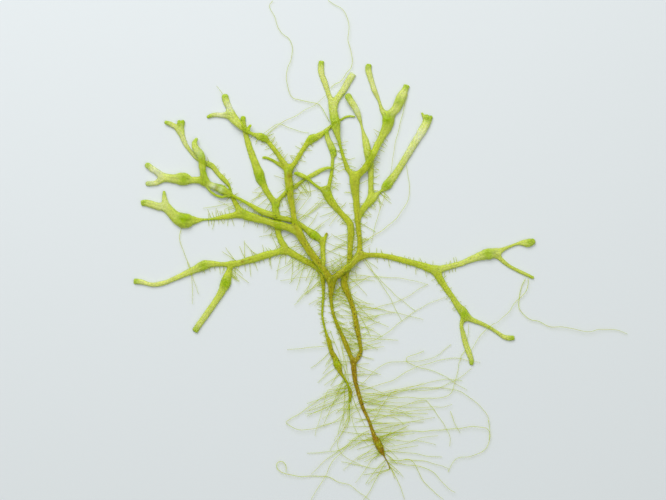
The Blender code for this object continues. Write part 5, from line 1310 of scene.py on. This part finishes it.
def thallus_tissue(colours):
    """Living liverwort tissue, grown as one seamless damp skin over air chambers.

    To the eye it is damp, pale and translucent where it is young, dense green at tips and swollen
    places, and olive with brown specks where it is old. Painted into its colour are highlights, glints
    on old skin and the shade where ribbons cross.
    """
    material, tree, output = new_material("Liverwort tissue, grown in one damp skin")
    where = add(tree, "ShaderNodeTexCoord").outputs["Object"]
    age, dark, brown, pale, depth = [
        add(tree, "ShaderNodeAttribute", attribute_name=key).outputs["Fac"] for key in SKIN_VALUES
    ]
    # Clouds of denser tissue about 0.8 mm across, and finer ones of 0.2 mm
    clouds, fine = [
        add(
            tree, "ShaderNodeTexNoise", {"Vector": where, "Scale": 1 / (size * MM), "Detail": detail}
        ).outputs["Fac"]
        for size, detail in ((0.8, 3.0), (0.2, 2.0))
    ]
    # Air chambers are 0.06 to 0.1 mm across, and are drawn at 0.15 mm so that they show. Specks of
    # algae and dead cells are 0.4 mm apart, and the painted glints on old skin, pale yellow dots, 0.3
    # mm
    chambers, specks, glints = [
        add(
            tree, "ShaderNodeTexVoronoi", {"Vector": where, "Scale": 1 / (size * MM)}, feature="F1"
        ).outputs["Distance"]
        for size in (0.1515, 0.3846, 0.303)
    ]
    aged = add(tree, "ShaderNodeValToRGB", {"Fac": age})
    ramp = aged.color_ramp
    ramp.elements[0].color = colours.young
    ramp.elements[1].color = colours.old
    ramp.elements[1].position = 0.72
    ramp.elements.new(0.38).color = colours.grown
    body = aged.outputs["Color"]
    # How strong each thing is: a first factor, and then values that are mapped from one range to
    # another, as (value, low, high, what low becomes, what high becomes)
    strengths = {}
    for name, strength, *ranges in (
        ("rim", 1.0, (depth, 0.0, 0.75, 1.0, 0.0), (clouds, 0.35, 0.65, 0.4, 0.55)),
        # The dense green also paints the shade where other ribbons cross
        ("dense", dark, (clouds, 0.3, 0.7, 1.08, 1.35)),
        # Pale tissue, which also paints the highlights on the wet skin
        ("bleached_and_highlight", pale, (clouds, 0.3, 0.7, 0.88, 1.05)),
        ("brown", brown, (fine, 0.3, 0.7, 0.7, 1.1)),
        ("specks", 1.0, (specks, 0.13, 0.25, 1.0, 0.0), (age, 0.4, 0.7, 0.0, 0.85)),
        # Painted glints: pale dots on old skin that stand in for the glints of light on its grainy
        # surface
        ("glints", 1.0, (glints, 0.12, 0.3, 1.0, 0.0), (age, 0.4, 0.6, 0.0, 0.6)),
        ("shade", 1.0, (clouds, 0.3, 0.7, 0.92, 1.07), (chambers, 0.0, 0.7, 1.09, 0.87),
         (fine, 0.3, 0.7, 0.94, 1.05)),
        ("roughness", 1.0, (fine, 0.3, 0.7, 0.3, 0.42)),
    ):
        for value, low, high, at_low, at_high in ranges:
            inputs = {
                "Value": value, "From Min": low, "From Max": high, "To Min": at_low, "To Max": at_high,
            }
            mapped = add(tree, "ShaderNodeMapRange", inputs).outputs["Result"]
            inputs = {0: strength, 1: mapped}
            strength = add(tree, "ShaderNodeMath", inputs, operation="MULTIPLY").outputs[0]
        strengths[name] = strength
    # The colours that lie over the green, from the first to the last. The dense green also paints the
    # shade where ribbons cross, the pale tissue colour also paints highlights, and the glints are
    # painted highlights
    for name in ("rim", "dense", "bleached_and_highlight", "brown", "specks", "glints"):
        inputs = {0: strengths[name], 6: body, 7: getattr(colours, name)}
        body = add(tree, "ShaderNodeMix", inputs, data_type="RGBA").outputs[2]
    shade = strengths["shade"]
    grey = add(tree, "ShaderNodeCombineColor", {0: shade, 1: shade, 2: shade}).outputs[0]
    body = add(
        tree, "ShaderNodeMix", {0: 1.0, 6: body, 7: grey}, data_type="RGBA", blend_type="MULTIPLY"
    ).outputs[2]
    height = add(tree, "ShaderNodeMath", {0: chambers, 1: fine}, operation="SUBTRACT").outputs[0]
    bump = add(tree, "ShaderNodeBump", {"Strength": 0.35, "Distance": 0.03 * MM, "Height": height})
    shader = add(tree, "ShaderNodeBsdfPrincipled", {
        "Base Color": body,
        "Roughness": strengths["roughness"],
        "Normal": bump.outputs["Normal"],
    })
    # Cells full of sap, under a thin damp film
    shader.inputs["IOR"].default_value = 1.38
    shader.inputs["Specular IOR Level"].default_value = 0.2
    shader.inputs["Subsurface Weight"].default_value = 0.8
    shader.inputs["Subsurface Radius"].default_value = (1.0, 1.1, 0.4)
    shader.inputs["Subsurface Scale"].default_value = 0.6 * MM
    shader.inputs["Coat Weight"].default_value = 0.15
    shader.inputs["Coat Roughness"].default_value = 0.12
    shader.inputs["Coat IOR"].default_value = 1.33
    tree.links.new(shader.outputs[0], output.inputs["Surface"])
    return material


def rhizoid_wall(colours):
    """A rhizoid is one long clear cell with a smooth wall: a pale thread that catches the light."""
    material, tree, output = new_material("Rhizoid, one long clear cell")
    where = add(tree, "ShaderNodeTexCoord").outputs["Object"]
    tone = add(tree, "ShaderNodeAttribute", attribute_name="tone").outputs["Fac"]
    # Cell contents gather in lumps about 0.5 mm apart
    inputs = {"Vector": where, "Scale": 1 / (0.5 * MM)}
    contents = add(tree, "ShaderNodeTexNoise", inputs).outputs["Fac"]
    share = add(tree, "ShaderNodeMath", {0: tone, 1: contents}, operation="MULTIPLY").outputs[0]
    inputs = {0: share, 6: colours.pale, 7: colours.green}
    body = add(tree, "ShaderNodeMix", inputs, data_type="RGBA").outputs[2]
    shader = add(tree, "ShaderNodeBsdfPrincipled", {"Base Color": body})
    shader.inputs["Roughness"].default_value = 0.3
    shader.inputs["IOR"].default_value = 1.38
    shader.inputs["Specular IOR Level"].default_value = 0.3
    shader.inputs["Subsurface Weight"].default_value = 0.3
    shader.inputs["Subsurface Scale"].default_value = 0.05 * MM
    # Light from the ground shines through the wall, and some passes straight through it
    glow = add(tree, "ShaderNodeBsdfTranslucent", {"Color": body})
    wall = add(tree, "ShaderNodeMixShader", {0: 0.45, 1: shader.outputs[0], 2: glow.outputs[0]})
    clear = add(tree, "ShaderNodeBsdfTransparent", {"Color": colours.clear})
    both = add(tree, "ShaderNodeMixShader", {0: 0.45, 1: clear.outputs[0], 2: wall.outputs[0]})
    tree.links.new(both.outputs[0], output.inputs["Surface"])
    return material


def painted_board(colour):
    """Fibreboard with rolled matt paint: an even pale ground with no gloss of its own."""
    material, tree, output = new_material("Fibreboard, rolled matt paint")
    where = add(tree, "ShaderNodeTexCoord").outputs["Object"]
    # The roller leaves an orange-peel grain of about 2 mm
    inputs = {"Vector": where, "Scale": 1 / (2.0 * MM)}
    grain = add(tree, "ShaderNodeTexNoise", inputs).outputs["Fac"]
    bump = add(tree, "ShaderNodeBump", {"Strength": 0.05, "Distance": 0.1 * MM, "Height": grain})
    shader = add(tree, "ShaderNodeBsdfPrincipled", {
        "Base Color": colour, "Roughness": 0.6, "Normal": bump.outputs["Normal"],
    })
    tree.links.new(shader.outputs[0], output.inputs["Surface"])
    return material


def length(name, description, steps, least=0.0):
    """A length that a user can change, with its default and the least it can be in grid steps."""
    return FloatProperty(
        name=name, description=description, default=steps * STEP, min=least * STEP, unit="LENGTH"
    )


def paint(name, description, code):
    """A colour that a user can change, with its default as an sRGB hex code."""
    return FloatVectorProperty(
        name=name, description=description, default=linear(code), size=4, min=0.0, max=1.0,
        subtype="COLOR",
    )


class RicciaThallus(bpy.types.PropertyGroup):
    """Sizes and colours of the ribbons."""

    cell: length("Mesh size", "Distance between two points of the skin", 0.4, least=0.2)
    web: length("Web", "How far the webs in the forks reach", 0.8, least=0.1)
    waviness: length("Waviness", "How far the margins wander", 0.22)
    channel: length("Channel", "Depth of the shallow channel along young ribbons", 0.3)
    young: paint("Young", "Colour of just grown tissue", "#e2eb94")
    grown: paint("Grown", "Colour of grown tissue", "#bfcd3e")
    old: paint("Old", "Colour of old tissue", "#b0ae14")
    rim: paint("Rim", "Colour of the margins", "#c0d846")
    dense: paint("Dense", "Colour of tips and swollen places", "#a0be0a")
    brown: paint("Brown", "Colour of the oldest tissue", "#9a780c")
    bleached_and_highlight: paint("Bleached and highlight", "Colour of tissue with little green", "#e9f2c8")
    specks: paint("Specks", "Colour of the small specks", "#55501a")
    glints: paint("Glints", "Colour of the pale grains", "#d8da50")


class RicciaRhizoids(bpy.types.PropertyGroup):
    """Sizes and colours of the rhizoids."""

    long_width: length("Long rhizoids", "Width of a long rhizoid at its root", 0.68)
    short_width: length("Short rhizoids", "Width of a short rhizoid at its root", 0.7)
    pale: paint("Pale", "Colour of an empty rhizoid", "#ecf24a")
    green: paint("Green", "Colour of a green rhizoid", "#d2de2a")
    clear: paint("Clear", "Tint of the light that passes straight through", "#f0f59c")


class RicciaStage(bpy.types.PropertyGroup):
    """The ground, the light and the camera."""

    ground: paint("Ground", "Colour of the ground", "#e2e8ee")
    daylight: paint("Daylight", "Colour of the light from all round", "#f4f6ea")
    sky: FloatProperty(name="Sky", description="Strength of the light from all round", default=0.37)
    light: FloatProperty(
        name="Light", description="Power of the main light", default=0.5, subtype="POWER", unit="POWER"
    )


shared = {}  # the skin and the materials that several operators use


def skin(context):
    """The skin of the whole thallus, worked out once."""
    if "skin" not in shared:
        sizes = context.scene.riccia_thallus
        shared["skin"] = Skin(
            sizes.cell / STEP, sizes.web / STEP, sizes.waviness / STEP, sizes.channel / STEP
        )
        shared["tissue"] = thallus_tissue(sizes)
    return shared["skin"]


def grow(context, name):
    """Adds one group of ribbons, in place of its solids."""
    _, nodes, slot = GROUPS[name]
    piece = skin(context).piece(name)
    piece.data.materials.append(shared["tissue"])
    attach(piece, "root")
    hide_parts(*nodes)
    return {"FINISHED"}


def root(context, threads, name, nodes=()):
    """Adds one group of rhizoids, in place of the solids that some of them have."""
    if "rhizoid" not in shared:
        shared["rhizoid"] = rhizoid_wall(context.scene.riccia_rhizoids)
    piece = threads.piece(name)
    piece.data.materials.append(shared["rhizoid"])
    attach(piece, "root")
    if nodes:
        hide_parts(*nodes)
    return {"FINISHED"}


def bristle(context, name, fringes, seed):
    """Adds the short rhizoids along some stretches of ribbon."""
    threads = Threads(sides=3)
    width = context.scene.riccia_rhizoids.short_width / STEP
    ribbons = skin(context).ribbons
    for number, (ribbon, *shape) in enumerate(fringes):
        fringe(threads, ribbons[ribbon], *shape, width, seed + number)
    return root(context, threads, name)


class RICCIA_OT_base(bpy.types.Operator):
    """The old brown base, with its swollen end and fine tail"""

    bl_idname = "riccia.base"
    bl_label = "Base"

    def execute(self, context):
        return grow(context, "base")


class RICCIA_OT_old_stems(bpy.types.Operator):
    """The old stems that rise from the base, and the outer one beside them"""

    bl_idname = "riccia.old_stems"
    bl_label = "Old stems"

    def execute(self, context):
        return grow(context, "old_stems")


class RICCIA_OT_middle_branches(bpy.types.Operator):
    """The leaf and the green tip between the left and the centre stem"""

    bl_idname = "riccia.middle_branches"
    bl_label = "Middle branches"

    def execute(self, context):
        return grow(context, "middle_branches")


class RICCIA_OT_left_stem(bpy.types.Operator):
    """The left stem with its upper left and upper middle branches"""

    bl_idname = "riccia.left_stem"
    bl_label = "Left stem"

    def execute(self, context):
        return grow(context, "left_stem")


class RICCIA_OT_long_ribbon(bpy.types.Operator):
    """The long dark ribbon to the far left, with its forked tip and its leaf"""

    bl_idname = "riccia.long_ribbon"
    bl_label = "Long ribbon"

    def execute(self, context):
        return grow(context, "long_ribbon")


class RICCIA_OT_left_branches(bpy.types.Operator):
    """The left branch, with the far left and the high left branches"""

    bl_idname = "riccia.left_branches"
    bl_label = "Left branches"

    def execute(self, context):
        return grow(context, "left_branches")


class RICCIA_OT_lower_left_branches(bpy.types.Operator):
    """The lower left stem and everything that it carries"""

    bl_idname = "riccia.lower_left_branches"
    bl_label = "Lower left branches"

    def execute(self, context):
        return grow(context, "lower_left_branches")


class RICCIA_OT_right_branches(bpy.types.Operator):
    """The right stem with the right branch and its tips"""

    bl_idname = "riccia.right_branches"
    bl_label = "Right branches"

    def execute(self, context):
        return grow(context, "right_branches")


class RICCIA_OT_top_branches(bpy.types.Operator):
    """The centre stem with the two branches at the top"""

    bl_idname = "riccia.top_branches"
    bl_label = "Top branches"

    def execute(self, context):
        return grow(context, "top_branches")


class RICCIA_OT_right_side_branches(bpy.types.Operator):
    """The side stem of the centre stem, with the inner and outer right branches"""

    bl_idname = "riccia.right_side_branches"
    bl_label = "Right side branches"

    def execute(self, context):
        return grow(context, "right_side_branches")


class RICCIA_OT_long_rhizoids(bpy.types.Operator):
    """The longest rhizoids, along the solids that stand for them, and the loose ones among them"""

    bl_idname = "riccia.long_rhizoids"
    bl_label = "Long rhizoids"

    def execute(self, context):
        threads = Threads(sides=4)
        width = context.scene.riccia_rhizoids.long_width / STEP
        for seed, points in enumerate(RHIZOIDS.values()):
            lay_thread(threads, points, width, seed)
        for seed, points in enumerate(LOOSE_RHIZOIDS):
            lay_thread(threads, points, LOOSE_WIDTH * width, LOOSE_SEED + seed)
        return root(context, threads, "long_rhizoids", sorted(RHIZOIDS))


class RICCIA_OT_base_rhizoids(bpy.types.Operator):
    """The dense rhizoids round the base and the foot of the outer old stem"""

    bl_idname = "riccia.base_rhizoids"
    bl_label = "Base rhizoids"

    def execute(self, context):
        return bristle(context, "base_rhizoids", BASE_FRINGES, BASE_SEED)


class RICCIA_OT_stem_rhizoids(bpy.types.Operator):
    """The short rhizoids that bristle along the stems and older branches"""

    bl_idname = "riccia.stem_rhizoids"
    bl_label = "Stem rhizoids"

    def execute(self, context):
        return bristle(context, "stem_rhizoids", STEM_FRINGES, STEM_SEED)


class RICCIA_OT_stage(bpy.types.Operator):
    """A pale ground, soft studio light and a camera that looks straight down"""

    bl_idname = "riccia.stage"
    bl_label = "Stage"

    def execute(self, context):
        scene = context.scene
        stage = scene.riccia_stage
        corners = [
            (x * GROUND_HALF, y * GROUND_HALF, -GROUND_DROP)
            for x, y in ((-1, -1), (1, -1), (1, 1), (-1, 1))
        ]
        mesh = bpy.data.meshes.new("ground")
        mesh.from_pydata(corners, [], [(0, 1, 2, 3)])
        mesh.materials.append(painted_board(stage.ground))
        ground = bpy.data.objects.new("ground", mesh)
        scene.collection.objects.link(ground)
        for name, at, size, share in LAMPS:
            light = bpy.data.lights.new(name, "AREA")
            light.size = size
            light.energy = stage.light * share
            lamp = bpy.data.objects.new(name, light)
            lamp.location = at
            lamp.rotation_euler = (-Vector(at)).to_track_quat("-Z", "Y").to_euler()
            scene.collection.objects.link(lamp)
        world = bpy.data.worlds.new("soft_room")
        world.use_nodes = True
        sky = world.node_tree.nodes["Background"]
        sky.inputs["Color"].default_value = stage.daylight
        sky.inputs["Strength"].default_value = stage.sky
        scene.world = world
        scene.view_settings.view_transform = "Standard"
        lens = bpy.data.cameras.new("camera")
        lens.lens = FOCAL_LENGTH
        lens.sensor_width = 36.0
        lens.clip_start = 0.005
        camera = bpy.data.objects.new("camera", lens)
        x, y, _ = place(*FRAME_MIDDLE, 0)
        camera.location = (x, y, FRAME_WIDTH / lens.sensor_width * lens.lens)
        scene.collection.objects.link(camera)
        scene.camera = camera
        return {"FINISHED"}


PIECES = (
    RICCIA_OT_base, RICCIA_OT_old_stems, RICCIA_OT_middle_branches, RICCIA_OT_left_stem,
    RICCIA_OT_long_ribbon, RICCIA_OT_left_branches, RICCIA_OT_lower_left_branches,
    RICCIA_OT_right_branches, RICCIA_OT_top_branches, RICCIA_OT_right_side_branches,
    RICCIA_OT_long_rhizoids, RICCIA_OT_base_rhizoids, RICCIA_OT_stem_rhizoids, RICCIA_OT_stage,
)


class RICCIA_PT_panel(bpy.types.Panel):
    """Lists the pieces of the plant, with the sizes and colours that they are made with"""

    bl_label = "Riccia"
    bl_idname = "RICCIA_PT_panel"
    bl_space_type = "VIEW_3D"
    bl_region_type = "UI"
    bl_category = "Riccia"

    def draw(self, context):
        layout = self.layout
        scene = context.scene
        for group in (scene.riccia_thallus, scene.riccia_rhizoids, scene.riccia_stage):
            box = layout.box()
            for key in group.bl_rna.properties.keys():
                if key not in ("rna_type", "name"):
                    box.prop(group, key)
        for piece in PIECES:
            layout.operator(piece.bl_idname)


CLASSES = (RicciaThallus, RicciaRhizoids, RicciaStage, *PIECES, RICCIA_PT_panel)


def register():
    for kind in CLASSES:
        bpy.utils.register_class(kind)
    bpy.types.Scene.riccia_thallus = PointerProperty(type=RicciaThallus)
    bpy.types.Scene.riccia_rhizoids = PointerProperty(type=RicciaRhizoids)
    bpy.types.Scene.riccia_stage = PointerProperty(type=RicciaStage)


def unregister():
    for name in ("riccia_thallus", "riccia_rhizoids", "riccia_stage"):
        delattr(bpy.types.Scene, name)
    for kind in reversed(CLASSES):
        bpy.utils.unregister_class(kind)


def main():
    register()
    for piece in PIECES:
        group, name = piece.bl_idname.split(".")
        if getattr(getattr(bpy.ops, group), name)() != {"FINISHED"}:
            raise RuntimeError(f"{piece.bl_idname} did not finish")
    bpy.context.view_layer.update()


if __name__ == "__main__":
    main()
